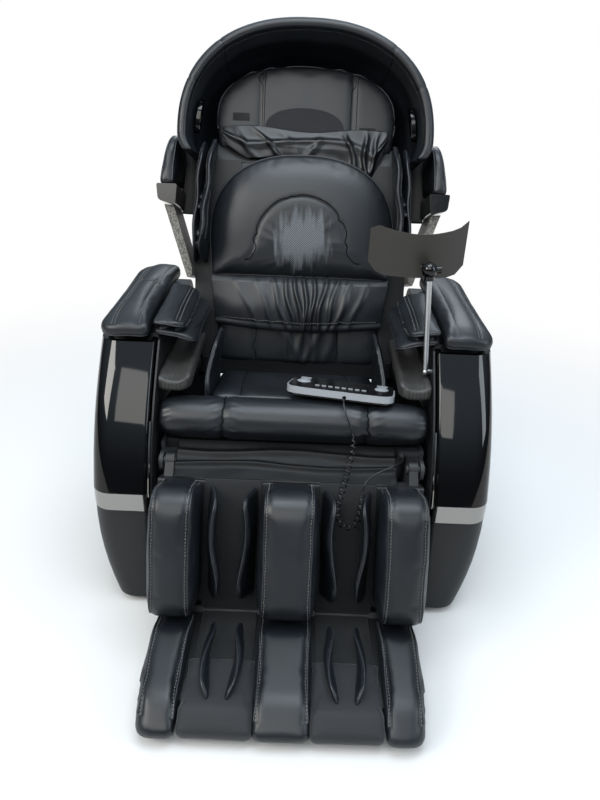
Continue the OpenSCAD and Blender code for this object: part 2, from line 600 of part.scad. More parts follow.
// A point of the remote's own frame, in the whole chair.
function from_remote(p) = let (y = p[1] * cos(remote_tilt) - p[2] * sin(remote_tilt),
    z = p[1] * sin(remote_tilt) + p[2] * cos(remote_tilt))
  remote_at + [p[0] * cos(remote_turn) - y * sin(remote_turn), p[0] * sin(remote_turn) + y * cos(remote_turn), z];
function remote_outline(d) = inset(rounded([[-remote_w / 2, -remote_d / 2, 24], [-remote_w / 2 + 40, -remote_d / 2 - 6, 60],
  [remote_w / 2 - 40, -remote_d / 2 - 6, 60], [remote_w / 2, -remote_d / 2, 24],
  [remote_w / 2 - 4, remote_d / 2, 22], [-remote_w / 2 + 4, remote_d / 2, 22]], 4), d);
remote_top = remote_t + 4;      // height of the face above the underside
ring_x = 92;
ring_y = 6;
ring_r = 17;
key_t = 2.4;
key_depth = 1.6;
key_ys = 36;
row_n = 8;
row_pitch = 15.5;
socket_x = 14;                  // where the cord enters the front of the remote

module key_hole(w, h, r) { linear_extrude(key_depth + 1) polygon(rounded([[-w / 2, -h / 2, r], [w / 2, -h / 2, r],
  [w / 2, h / 2, r], [-w / 2, h / 2, r]])); }

module remote_case() color(leather) whole() on_remote() difference() {
  union() {
    linear_extrude(5) polygon(remote_outline(3));
    translate([0, 0, 5]) linear_extrude(remote_top - 5) polygon(remote_outline(1.2));
  }
  // Screen window, wells of the two ring pads, the two oval keys and the key row.
  translate([0, 12, remote_top - 1]) linear_extrude(2) polygon(rounded([[-62, -22, 5], [62, -22, 5], [62, 26, 5],
    [-62, 26, 5]]));
  for (x = [-ring_x, ring_x]) translate([x, ring_y, remote_top - key_depth])
    cylinder(r = ring_r + 0.5, h = key_depth + 1, $fn = 64);
  for (x = [-ring_x, ring_x]) translate([x, key_ys, remote_top - key_depth]) key_hole(27, 11, 5);
  for (k = [0 : row_n - 1]) translate([(k - (row_n - 1) / 2) * row_pitch, -28, remote_top - key_depth])
    key_hole(11.4, 6.4, 2);
  // Socket for the cord's plug in the front wall.
  translate([socket_x, -remote_d / 2 + 10, 8]) rotate([90, 0, 0]) cylinder(r = 4.5, h = 20, $fn = 48);
}

// Silver rim that wraps the front and ends of the case.
module remote_bezel() color(silver) whole() on_remote() difference() {
  translate([0, 0, 5]) linear_extrude(remote_top - 6.5) difference() {
    polygon(remote_outline(-2.2));
    polygon(remote_outline(1.2));
    translate([-200, 20]) square([400, 100]);
  }
  translate([socket_x, -remote_d / 2 + 10, 8]) rotate([90, 0, 0]) cylinder(r = 4.5, h = 40, $fn = 48);
}

// A ring pad pressed anywhere on its rim, with a round boss in its middle.
module remote_ring(x) whole() on_remote() translate([x, ring_y, remote_top - key_depth + 1])
  rotate_extrude($fn = 72) polygon([[0, 0], [ring_r - 0.5, 0], [ring_r - 0.5, 1], [ring_r - 3, 2.6], [9, 1.8], [8, 1],
    [7, 1], [6, 2.4], [0, 2.8]]);
module remote_ring_left() color(silver) remote_ring(ring_x);
module remote_ring_right() color(silver) remote_ring(-ring_x);
module oval_key(x) whole() on_remote() translate([x, key_ys, remote_top - key_depth + 1])
  linear_extrude(key_t) polygon(rounded([[-13, -5, 4.6], [13, -5, 4.6], [13, 5, 4.6], [-13, 5, 4.6]]));
module remote_power_key() color(silver) oval_key(ring_x);
module remote_pause_key() color(silver) oval_key(-ring_x);
// Eight small keys on one flexible strip.
module remote_key_row() color(silver) whole() on_remote() for (k = [0 : row_n - 1])
  translate([(k - (row_n - 1) / 2) * row_pitch, -28, remote_top - key_depth + 1]) linear_extrude(key_t)
    polygon(rounded([[-5.2, -2.7, 1.6], [5.2, -2.7, 1.6], [5.2, 2.7, 1.6], [-5.2, 2.7, 1.6]], 2));

// ---------------------------------------------------------------- cord
// Points that the cord's three stretches follow. The first starts at the bottom of the remote's socket.
function socket_at(d) = from_remote([socket_x, -remote_d / 2 + 10 - d, 8]);
lead_points = [socket_at(0.4), socket_at(10), [111, -208, 487], [110, -221, 486], [111, -233, 480],
  [115, -243, 469], [122, -250, 455], [129, -255, 440], [132, -259, 428]];
coil_points = [[132, -259, 428], [134, -266, 417], [131, -288, 399], [124, -312, 376], [114, -338, 340],
  [106, -352, 304], [107, -360, 276], [117, -365, 258], [133, -366, 254], [147, -360, 266],
  [154, -350, 290], [156, -342, 314], [158, -337, 334]];
tail_points = [[158, -337, 334], [160, -334, 343], [168, -327, 354], [184, -319, 363], [206, -308, 369],
  [228, -292, 371], [243, -276, 369], [250, -264, 367], [250, -252, 367]];
relief_at = [250, -252, 367];

// A point at share t of the way along points, on a smooth curve through them.
function smooth(q, t) = let (n = len(q), s = clamp01(t) * (n - 1), i = min(floor(s), n - 2), f = s - i,
    a = q[max(i - 1, 0)], b = q[i], c = q[i + 1], d = q[min(i + 2, n - 1)])
  b + 0.5 * f * (c - a + f * (2 * a - 5 * b + 4 * c - d + f * (3 * (b - c) + d - a)));
function run(q, n) = [for (i = [0 : n]) smooth(q, i / n)];
function lengths(q, i = 1, sum = [0]) = i == len(q) ? sum
  : lengths(q, i + 1, concat(sum, [sum[i - 1] + norm(q[i] - q[i - 1])]));

// The curly stretch: its curls wind at an even pitch round the middle line.
coil_line = run(coil_points, 132);
coil_sum = lengths(coil_line);
coil_len = coil_sum[len(coil_sum) - 1];
function line_at(s) = let (i = min(max([for (k = [0 : len(coil_sum) - 2]) coil_sum[k] <= s ? k : 0]), len(coil_sum) - 2),
  f = (s - coil_sum[i]) / (coil_sum[i + 1] - coil_sum[i])) mix(coil_line[i], coil_line[i + 1], f);
rings_per_curl = 8;
coil_n = curls * rings_per_curl;
function curl_point(k) = let (u = k / coil_n, s = u * coil_len, c = line_at(s),
    d = unit(line_at(min(s + 3, coil_len)) - line_at(max(s - 3, 0))),
    side_ = unit(cross(d, [0, -cos(leg_lean), sin(leg_lean)])), out = cross(side_, d),
    grow = min(1, 12 * max(0, min(u, 1 - u) - 0.013)), a = 360 * curls * u)
  c + (curl_d - cord_d) / 2 * grow * (side_ * cos(a) + out * sin(a));
coil_path = [for (k = [0 : coil_n]) curl_point(k)];
coil_gap = min([for (i = [0 : coil_n]) for (j = [i + 5 : min(i + 12, coil_n)]) norm(coil_path[i] - coil_path[j])]) - cord_d;
coil_wire = lengths(coil_path)[coil_n];
echo(curly_cord_least_gap = coil_gap, curly_cord_wire_length = coil_wire, curly_cord_run = coil_len);

module cord_relief() color(leather) whole() translate(relief_at) rotate([-90, 0, 0]) {
  cylinder(r1 = 3.4, r2 = 5.5, h = 12, $fn = 48);
  translate([0, 0, 12]) cylinder(r = 5.5, h = 4, $fn = 48);
}
module cord_lead() color(leather) whole() tube(run(lead_points, 12), cord_d / 2, 8);
module cord_coil() color(leather) whole() tube(coil_path, cord_d / 2, 6);
module cord_tail() color(leather) whole() tube(run(tail_points, 13), cord_d / 2, 8);

// ---------------------------------------------------------------- back
// Where the reclining axis lies in the back's own frame.
function to_back(y, z) = let (dy = y - back_y, dz = z - back_z)
  [dy * cos(back_lean) - dz * sin(back_lean), dy * sin(back_lean) + dz * cos(back_lean)];
recline_at = to_back(recline_y, recline_z);
channel_x = shell_w / 2 - 50;   // inner face of the back frame's side channels
channel_w = 27;
channel_y = 20;                 // front of the frame, where the pads rest
channel_d = 36;
frame_top = 560;
shell_top = 566;
shell_back = 196;
dome_x = 190;                   // half width of the narrow upper shell behind the head
dome_top = hood_top - 112;
bar_y = 92;                     // depth of the guide rods
bar_z = [34, 640];
fascia_t = 4;                   // board round the opening that the rollers work through
pad_y = channel_y - fascia_t;   // depth that the pads rest on
neck_y = 62;                    // front of the narrow frame behind the head

module back_frame() color(steel) whole() on_back() {
  each_side() difference() {
    union() {
      // Open channel, its flanges turned outwards.
      translate([channel_x, channel_y, recline_at[1] + 30]) linear_extrude(frame_top - recline_at[1] - 30)
        polygon([[0, 0], [channel_w, 0], [channel_w, 4], [4, 4], [4, channel_d - 4], [channel_w, channel_d - 4],
          [channel_w, channel_d], [0, channel_d]]);
      along_x(channel_x, plate_x - 8) union() {
        translate(recline_at) circle(r = boss_r, $fn = 64);
        polygon([[channel_y, recline_at[1] + 4], [channel_y + channel_d - 6, recline_at[1] + 4],
          [channel_y + channel_d, recline_at[1] + 60], [channel_y, recline_at[1] + 60]]);
      }
    }
    rod_x(channel_x - 1, plate_x, recline_at[0], recline_at[1], shaft_r + run_gap);
  }
  // Cross members, the upper one on a narrower neck behind the head.
  block([-channel_x, channel_y, 20], [channel_x, channel_y + 30, 50]);
  each_side() {
    block([150, channel_y + 1, frame_top - 32], [channel_x + 2, channel_y + 30, frame_top - 2]);
    block([150, channel_y + 29, frame_top - 32], [176, neck_y + 26, frame_top - 2]);
    block([150, neck_y, frame_top - 3], [176, neck_y + 26, bar_z[1] + 18]);
    // Brackets that hold the guide rods' ends.
    block([rod_gap / 2 - 14, channel_y + 30, 20], [rod_gap / 2 + 14, bar_y + 14, 46]);
    block([rod_gap / 2 - 14, neck_y, bar_z[1] - 12], [rod_gap / 2 + 14, bar_y + 14, bar_z[1] + 14]);
    translate([rod_gap / 2, bar_y, 26]) cylinder(r = rod_r, h = bar_z[1] - 20, $fn = 64);
  }
  block([-176, neck_y, bar_z[1] - 12], [176, neck_y + 26, bar_z[1] + 18]);
}

// A flat-topped arch of half width w, from height z0 up to z1.
function arch(w, z0, z1, p = 2.3, n = 12) = concat([[-w, z0], [w, z0]],
  [for (i = [0 : n]) let (a = 180 * i / n, c = cos(a), s = sin(a))
    [w * sign(c) * pow(abs(c), 2 / p), z1 - w * 0.86 + w * 0.86 * pow(s, 2 / p)]]);

// The moulded rear cover: a full-width tray, a narrower tray behind the head.
module back_shell() color(plastic) whole() on_back() difference() {
  union() {
    intersection() {
      along_y(channel_y, shell_back) polygon(rounded([[-shell_w / 2, 6, 40], [shell_w / 2, 6, 40],
        [shell_w / 2, shell_top, 10], [-shell_w / 2, shell_top, 10]]));
      along_x(-shell_w / 2, shell_w / 2) polygon(rounded([[channel_y, 6, 0], [shell_back - 60, 6, 50],
        [shell_back, 90, 60], [shell_back, shell_top, 0], [channel_y, shell_top, 0]], 6));
    }
    along_y(neck_y - 2, 158) polygon(arch(dome_x, shell_top - 20, dome_top));
    along_y(154, 158) polygon(arch(dome_x + 28, shell_top - 20, dome_top + 18));
    along_y(pad_y, channel_y) polygon(rounded([[-shell_w / 2, 6, 40], [shell_w / 2, 6, 40],
      [shell_w / 2, shell_top, 10], [-shell_w / 2, shell_top, 10]]));
  }
  intersection() {
    along_y(channel_y, shell_back - shell_wall) polygon(rounded([
      [-shell_w / 2 + shell_wall, 6 + shell_wall, 36], [shell_w / 2 - shell_wall, 6 + shell_wall, 36],
      [shell_w / 2 - shell_wall, shell_top - shell_wall, 6], [-shell_w / 2 + shell_wall, shell_top - shell_wall, 6]]));
    along_x(-shell_w / 2, shell_w / 2) polygon(rounded([[channel_y, 6 + shell_wall, 0],
      [shell_back - 62, 6 + shell_wall, 46], [shell_back - shell_wall, 92, 56],
      [shell_back - shell_wall, shell_top - shell_wall, 0], [channel_y, shell_top - shell_wall, 0]], 6));
  }
  block([-165, pad_y - 1, 60], [165, channel_y + 1, shell_top + 1]);
  along_y(50, 158 - shell_wall) polygon(arch(dome_x - shell_wall, shell_top - 30, dome_top - shell_wall));
  // Bearing ears pass through the side walls.
  each_side() block([channel_x, channel_y - 5, -10], [shell_w / 2 + 1, recline_at[0] + boss_r + 3, 52]);
  // Two fields of cooling slots.
  for (x = [-150, 150]) for (k = [0 : 7]) translate([x, shell_back - 10, 170 + 14 * k])
    cube([120, 40, 5], center = true);
}

// The long pad: an arched top, a crowned face, a horseshoe seam sunk into it.
pad_z = [268, 578];
module back_pad() color(leather) whole() on_back() {
  w = back_pad_w / 2;
  h = pad_z[1] - pad_z[0];
  outline_ = concat([[-w + 6, 0], [w - 6, 0]], [for (i = [0 : 14]) let (a = 180 * i / 14, c = cos(a))
    [w * sign(c) * pow(abs(c), 0.88), h * 0.30 + h * 0.70 * pow(sin(a), 0.80)]]);
  c = [0, h * 0.42];
  shoe = function (p) let (r = norm([(p[0]) / 112, (p[1] - h * 0.34) / 124])) exp(-pow((r - 1) / 0.10, 2));
  levels = [1, 0.9, 0.76, 0.6, 0.5, 0.44, 0.3];
  crown = function (s) 34 * (1 - pow(s, 3.4));
  place = function (p, d) [p[0], pad_y - d, pad_z[0] + p[1]];
  face = function (s) [for (q = outline_) let (p = c + (q - c) * s) place(p, 26 + crown(s) - 5 * shoe(p))];
  rear = [for (q = outline_) place(c + (q - c) * 0.97, 0)];
  belt = [for (q = outline_) place(q, 8)];
  loft(concat([rear, belt], [for (s = levels) face(s)]), place(c, 0), place(c, 60));
}

// Loose leather over the lumbar, gathered at its middle and hemmed, over a lower pad.
hem_z = 142;
module lumbar_drape() color(leather) whole() on_back() {
  rows = 5;
  cols = 12;
  top = pad_z[0] - soft_gap;
  fold = function (u, v) let (c = 2 * u - 1) 22 * sin(150 * clamp01(v)) * (1 - pow(abs(c), 3))
    + (7 * sin(540 * u + 70 * v) + 5 * sin(1400 * u - 120 * v)) * sin(180 * u) * (0.35 + 0.65 * sin(180 * v));
  face = function (u, v, d) [mix(-224 + 8 * v, 224 - 8 * v, u), pad_y - 20 - d,
    mix(top, hem_z - 16 * sin(180 * u), v)];
  band_loft([for (i = [0 : cols]) let (u = i / cols) concat(
    [for (j = [0 : rows]) let (v = j / rows) face(u, v, 6 + fold(u, v))],
    [for (j = [rows : -1 : 0]) let (v = j / rows) face(u, v, 0)])]);
  dent = function (p) [p[0], pad_y - p[2] + (p[2] > 10 ? 4 * exp(-pow((abs(p[0]) - 84) / 8, 2)) : 0), p[1]];
  pad(rounded([[-214, 34, 24], [214, 34, 24], [222, pad_z[0] - 4, 6], [-222, pad_z[0] - 4, 6]], 3), 19.5, 6, 4, dent);
}

// The head panel: three fields between two upright double seams, and a loose cloth edge below it.
head_z = [pad_z[1] + 22, hood_top - 66];
head_w = 236;
module head_panel() color(leather) whole() on_back() {
  seam = function (x) exp(-pow((abs(x) - 108) / 7, 2));
  place = function (p) [p[0], neck_y - 2 - p[2] + (p[2] > 12 ? 4 * seam(p[0]) : 0), p[1]];
  pad(concat([[-head_w + 10, head_z[0]], [-112, head_z[0]], [-104, head_z[0]], [0, head_z[0]], [104, head_z[0]],
    [112, head_z[0]], [head_w - 10, head_z[0]]], [for (i = [0 : 10]) let (a = 180 * i / 10, c = cos(a))
    [head_w * sign(c) * pow(abs(c), 0.8), head_z[1] - 150 + 150 * pow(sin(a), 0.75)]]), 32, 8, 3, place);
  cols = 12;
  rows = 3;
  ripple = function (u, v) (5 * sin(900 * u + 60 * v) + 3 * sin(1500 * u)) * v;
  band_loft([for (i = [0 : cols]) let (u = i / cols, low = head_z[0] - 14 - 40 * pow(u, 5)) concat(
    [for (j = [0 : rows]) let (v = j / rows) [mix(-190, 190, u), 24 - 21 * v + ripple(u, v), mix(head_z[0] + 46, low, v)]],
    [for (j = [rows : -1 : 0]) let (v = j / rows) [mix(-190, 190, u), 27.5 - 21 * v + ripple(u, v) + (v == 0 ? 2 : 0),
      mix(head_z[0] + 46, low, v)]])]);
}

// ---------------------------------------------------------------- hood
hood_low = shell_top;
hood_rim = -92;                 // depth of the rim's front
// Stations from the sitter's left foot of the hood, over the top, to the right foot.
function hood_station(i, n) = let (leg = 3, arc = n - 2 * leg)
  i < leg ? [[hood_r - 16 * pow(1 - i / leg, 2), mix(hood_low, hood_top - hood_r * 0.86, i / leg)], [1, 0]]
  : i > n - leg ? let (q = hood_station(n - i, n)) [[-q[0][0], q[0][1]], [-q[1][0], q[1][1]]]
  : let (a = 180 * (i - leg) / arc, p = 2.3, c = cos(a), s = sin(a), e = 2 / p,
      x = hood_r * sign(c) * pow(abs(c), e), z = hood_r * 0.86 * pow(s, e),
      u = sign(c) * pow(abs(c), 2 - e) / hood_r, v = pow(s, 2 - e) / (hood_r * 0.86))
    [[x, hood_top - hood_r * 0.86 + z], unit([u, v])];
// The wall's section: distance out from the hood's face, and depth.
hood_outer = [[-9, -1], [3, 4], [8, 14], [5, 26], [0, 36], [0, 110], [-5, 160], [-24, 205], [-58, 236], [-98, 246]];
hood_inner = [[-17, 0], [-30, 6], [-35, 17], [-32, 30], [-hood_t, 42], [-hood_t, 105], [-hood_t - 3, 140],
  [-46, 176], [-74, 204], [-100, 214]];
hood_n = 14;
function hood_point(i, p) = let (q = hood_station(i, hood_n), at = q[0] + q[1] * p[0]) [at[0], hood_rim + p[1], at[1]];
module hood() color(leather) whole() on_back()
  band_loft([for (i = [0 : hood_n]) concat([for (p = hood_outer) hood_point(i, p)],
    [for (k = [len(hood_inner) - 1 : -1 : 0]) hood_point(i, hood_inner[k])])]);

// Slim oval surrounds set on the hood's inner sides, in front of the speakers.
speaker_y = hood_rim + 66;
function oval(a, b) = [for (i = [0 : 31]) [a * cos(i * 11.25), b * sin(i * 11.25)]];
module hood_speakers() color(gloss) whole() on_back() each_side() {
  low = hood_station(3, hood_n);
  high = hood_station(4, hood_n);
  a = low[0] - low[1] * hood_t;
  b = high[0] - high[1] * hood_t;
  translate([(a[0] + b[0]) / 2, speaker_y, (a[1] + b[1]) / 2]) rotate([0, atan2(b[0] - a[0], b[1] - a[1]) - 90, 0])
    difference() {
      linear_extrude(9) polygon(oval(41, 17));
      translate([0, 0, 5]) linear_extrude(5) polygon(oval(34, 12));
    }
}

// ---------------------------------------------------------------- shoulders
// Padded wings beside the hood's foot, each ending in a glossy cap on a speckled strut.
wing_x = [322, 372];
wing_z = [488, 618];
module wing() whole() on_back() {
  sweep = function (p) let (t = pow(clamp01((p[1] - wing_z[0]) / (wing_z[1] - wing_z[0])), 1.6))
    [wing_x[0] - 7 * t + p[2] * (1 - 0.46 * t), p[0], p[1]];
  pad(rounded([[-66, wing_z[0], 10], [100, wing_z[0], 16], [120, wing_z[1] - 50, 40], [60, wing_z[1], 50],
    [-48, wing_z[1], 60]], 3), wing_x[1] - wing_x[0], 9, 6, sweep);
}
module wing_left() color(leather) wing();
module wing_right() color(leather) mirror([1, 0, 0]) wing();

module wing_struts() color(grey) whole() on_back() each_side() {
  // Glossy cap under the wing, the strut running down and in to the back shell's side.
  along_y(-62, 92) polygon(rounded([[wing_x[0] + 2, wing_z[0] - 52, 8], [wing_x[1] - 4, wing_z[0] - 40, 12],
    [wing_x[1], wing_z[0], 4], [wing_x[0] - 2, wing_z[0], 4]]));
  along_y(-40, 80) polygon([[shell_w / 2, 284], [shell_w / 2, 262], [shell_w / 2 + 12, 258],
    [wing_x[1] - 16, wing_z[0] - 48], [wing_x[0] + 10, wing_z[0] - 50]]);
}

// Two leaves each side that close on the shoulders, standing forward from the back.
cell_x = [246, 270];
cell_z = [298, 616];
module shoulder_cells() whole() on_back() {
  for (k = [0, 1]) {
    sway = function (p) let (v = clamp01((p[1] - cell_z[0]) / (cell_z[1] - cell_z[0])), r = clamp01((pad_y - p[0]) / 120))
      [cell_x[k] + p[2] - 24 * v * v - 9 * r * sin(180 * v) + 16 * (1 - k) * (0.5 - v) * r, p[0], p[1]];
    pad(rounded([[-104 + 20 * k, cell_z[0] + 36, 60], [-20, cell_z[0], 20], [pad_y, cell_z[0] + 4, 8],
      [pad_y, cell_z[1] - 20, 8], [-30, cell_z[1] - 10 * k, 30], [-96 + 16 * k, cell_z[1] - 66, 70]], 1), 17, 5, 4, sway);
  }
}
module shoulder_cells_left() color(leather) shoulder_cells();
module shoulder_cells_right() color(leather) mirror([1, 0, 0]) shoulder_cells();

// ---------------------------------------------------------------- massage carriage
carriage_z = [150, 286];
bush_r = rod_r + 8;
arm_axis = [118, 218];          // depth and height of the kneading shaft
module roller_carriage() color(grey) whole() on_back() {
  difference() {
    union() {
      each_side() translate([rod_gap / 2, bar_y, carriage_z[0]]) cylinder(r = bush_r, h = carriage_z[1] - carriage_z[0], $fn = 64);
      block([-rod_gap / 2, bar_y + 12, carriage_z[0] + 10], [rod_gap / 2, bar_y + 20, carriage_z[1] - 10]);
      for (x = [-rod_gap / 2 + 10, rod_gap / 2 - 18, -8]) block([x, bar_y + 14, arm_axis[1] - 20],
        [x + (x == -8 ? 16 : 8), arm_axis[0] + 20, arm_axis[1] + 20]);
    }
    each_side() translate([rod_gap / 2, bar_y, carriage_z[0] - 1]) cylinder(r = rod_r + run_gap, h = 200, $fn = 64);
    // Window through which the arms reach the sitter.
    for (s = [-1, 1]) block([s * 66 - 48, bar_y - 20, arm_axis[1] - 45], [s * 66 + 46, bar_y + 21, arm_axis[1] + 45]);
  }
  rod_x(-rod_gap / 2 + 12, rod_gap / 2 - 12, arm_axis[0], arm_axis[1], 7);
  translate([0, arm_axis[0] + 20, arm_axis[1]]) rotate([-90, 0, 0]) cylinder(r = 20, h = 44, $fn = 64);
}

// A kneading arm: a rocker on the shaft with a roller at each end, facing the sitter.
module roller_arm() whole() on_back() {
  x = 66;
  difference() {
    along_x(x - 6, x + 6) union() {
      translate(arm_axis) circle(r = 14, $fn = 64);
      polygon([[arm_axis[0] - 4, arm_axis[1] - 14], [arm_axis[0] - 4, arm_axis[1] + 14], [66, arm_axis[1] + 48],
        [56, arm_axis[1] + 40], [96, arm_axis[1]], [56, arm_axis[1] - 40], [66, arm_axis[1] - 48]]);
    }
    rod_x(x - 7, x + 7, arm_axis[0], arm_axis[1], 7 + run_gap);
  }
  for (s = [-1, 1]) {
    rod_x(x - 14, x + 14, 60, arm_axis[1] + s * 42, 5);
    for (side_ = [0, 1]) translate([side_ == 0 ? x - 32 : x + 8, 60, arm_axis[1] + s * 42]) rotate([0, 90, 0])
      rotate_extrude($fn = 72) polygon(rounded([[0, 0, 0], [roller_r - 4, 0, 6], [roller_r, 12, 10],
        [roller_r - 4, 24, 6], [0, 24, 0]]));
  }
}
module roller_arm_left() color(plastic) roller_arm();
module roller_arm_right() color(plastic) mirror([1, 0, 0]) roller_arm();

// ---------------------------------------------------------------- leg rest
shell_front = -54;              // the wells' floor, in the leg's own frame
calf_top = -22;
lug_x = [arm_in - 46, arm_in - 26];
mid_w = 124;
outer_w = 104;
module calf_shell() color(plastic) whole() on_leg() {
  difference() {
    union() {
      along_x(-calf_w / 2, calf_w / 2) polygon(rounded([[shell_front, calf_top - 6 - calf_len, 6], [16, calf_top - 6 - calf_len, 12],
        [16, calf_top - 8, 16], [shell_front, calf_top - 8, 6]]));
      each_side() along_x(lug_x[0], lug_x[1]) union() {
        circle(r = boss_r - 1, $fn = 64);
        polygon([[-boss_r + 1, 0], [boss_r - 1, 0], [15, calf_top - 30], [-40, calf_top - 30]]);
      }
    }
    each_side() rod_x(lug_x[0] - 1, lug_x[1] + 1, 0, 0, shaft_r + run_gap);
    // Hollow from below, where the foot section's slides run.
    each_side() block([40, -30, -400], [calf_w / 2 - 30, 6, calf_top - 60]);
  }
}
// One upright pad of the legs: its side outline swells to the front, its edges are rolled.
module leg_pad(x, w, outline_) {
  place = function (p) [x - w / 2 + p[2], p[0], p[1]];
  pad(outline_, w, 15, 4, place);
}
calf_outline = rounded([[shell_front, calf_top - calf_len, 14], [shell_front, calf_top, 20],
  [-calf_reach + 4, calf_top, 56], [-calf_reach - 6, calf_top - calf_len * 0.45, 200],
  [-calf_reach + 6, calf_top - calf_len, 44]], 2);
module calf_pads() color(leather) whole() on_leg() {
  for (x = [-1, 1]) leg_pad(x * (calf_w / 2 - outer_w / 2), outer_w, calf_outline);
  leg_pad(0, mid_w, calf_outline);
}
// Thin leaves that close on each calf, leaning in over it and waving along their free edges.
module leaf(x, s, outline_, low, high, amp) {
  place = function (p) let (v = clamp01((p[1] - low) / (high - low)), r = clamp01((shell_front - p[0]) / 90))
    [x + p[2] - 8 + s * r * (20 + amp * sin(360 * v + 40)), p[0], p[1]];
  pad(outline_, 16, 5, 3, place);
}
calf_leaf = rounded([[shell_front, calf_top - calf_len + 22, 6], [shell_front, calf_top - 18, 10],
  [shell_front - 92, calf_top - 26, 34], [shell_front - 104, calf_top - calf_len * 0.5, 120],
  [shell_front - 84, calf_top - calf_len + 34, 40]], 1);
module calf_cells() color(leather) whole() on_leg() each_side() {
  leaf(mid_w / 2 + 16, 1, calf_leaf, calf_top - calf_len, calf_top, 9);
  leaf(calf_w / 2 - outer_w - 16, -1, calf_leaf, calf_top - calf_len, calf_top, 9);
}

// The foot section slides out of the calf section on two bars.
foot_top = calf_top - calf_len - 14;
foot_x = foot_w / 2;
// Height, in the leg's own frame, of a line a clearance above the floor at depth y.
function floor_at(y, clear) = (clear - knee_z + y * sin(leg_lean)) / cos(leg_lean);
sole = 50;                      // height of the soles' rest above the floor
toe_end = -276;                 // front of the foot shell, behind the pads' noses
foot_nose = -336;
module foot_shell() color(plastic) whole() on_leg() {
  along_x(-foot_x + 4, foot_x - 4) polygon([[10, foot_top], [shell_front, foot_top], [-62, floor_at(-62, sole)],
    [toe_end, floor_at(toe_end, sole)], [toe_end, floor_at(toe_end, 16)], [-10, floor_at(-10, 12)],
    [10, floor_at(10, 14)]]);
  each_side() block([150, -20, foot_top - 2], [180, -8, calf_top - 70]);
}
foot_heart = [-289, floor_at(-289, sole) + 10.5];
foot_outline = rounded([[toe_end - 1, floor_at(toe_end, sole) + 1, 0], [-84, floor_at(-84, sole) + 1, 0],
  [-80, foot_top, 0], [-calf_reach + 14, foot_top, 44], [foot_nose + 34, foot_top - 78, 90],
  [foot_nose, floor_at(foot_nose, 38), 14], [foot_nose + 16, floor_at(foot_nose + 16, 14), 10],
  [toe_end - 2, floor_at(toe_end, 14), 0]], 2);
// The sole pads fill between the upright pads, rolled over the shell's front.
sole_outline = rounded([[toe_end - 1, floor_at(toe_end, sole) + 0.5, 2], [-186, floor_at(-186, sole) + 0.5, 4],
  [-192, floor_at(-192, sole) + 15, 5], [foot_nose + 26, floor_at(foot_nose + 26, 64), 16],
  [foot_nose + 4, floor_at(foot_nose + 4, 38), 10], [foot_nose + 18, floor_at(foot_nose + 18, 15), 8],
  [toe_end - 2, floor_at(toe_end, 15), 6]], 1);
module foot_pads() color(leather) whole() on_leg() {
  for (x = [-1, 1]) foot_pad(x * (foot_x - 47), 94);
  foot_pad(0, mid_w);
  wide = foot_x - 94 - mid_w / 2 - 2 * soft_gap;
  place = function (p) [mid_w / 2 + soft_gap + p[2], p[0], p[1]];
  each_side() pad(sole_outline, wide, 4, 2, place, false, foot_heart - [0, 3.5]);
}
module foot_pad(x, w) {
  place = function (p) [x - w / 2 + p[2], p[0], p[1]];
  pad(foot_outline, w, 6, 4, place, true, foot_heart);
}
module foot_cells() color(leather) whole() on_leg() each_side() {
  // The leaf runs on over the sole pad, a clearance above it, and falls towards the toes.
  foot_leaf = rounded([[-126, floor_at(-126, sole + 15.4), 4], [-114, foot_top - 3, 5], [-162, foot_top - 4, 26],
    [-214, foot_top - 20, 60], [-286, floor_at(-286, sole + 40), 24], [-300, floor_at(-300, sole + 15.4), 6]], 1);
  leaf(mid_w / 2 + 16, 1, foot_leaf, foot_top - 100, foot_top, 9);
  leaf(foot_x - 94 - 16, -1, foot_leaf, foot_top - 100, foot_top, 9);
}

base_rails();
base_crossbars();
base_feet();
control_box();
power_switch();
air_pump();
rear_wheel_left();
rear_wheel_right();
skirts();
chrome_bands();
arm_front_left();
arm_front_right();
arm_side_left();
arm_side_right();
arm_cushion_left();
arm_cushion_right();
forearm_cell_left();
forearm_cell_right();
forearm_beds();
stand_mast();
stand_knuckle();
stand_plate();
seat_frame();
seat_cushion();
seat_bolster();
hip_cells();
knee_apron();
remote_case();
remote_bezel();
remote_ring_left();
remote_ring_right();
remote_power_key();
remote_pause_key();
remote_key_row();
cord_relief();
cord_lead();
cord_coil();
cord_tail();
back_frame();
back_shell();
back_pad();
lumbar_drape();
head_panel();
hood();
hood_speakers();
wing_left();
wing_right();
wing_struts();
shoulder_cells_left();
shoulder_cells_right();
roller_carriage();
roller_arm_left();
roller_arm_right();
calf_shell();
calf_pads();
calf_cells();
foot_shell();
foot_pads();
foot_cells();
actuators();
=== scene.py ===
import json
import math

import bmesh
import bpy
import numpy as np
from mathutils import Matrix, Vector, noise
from mathutils.bvhtree import BVHTree
from mathutils.kdtree import KDTree

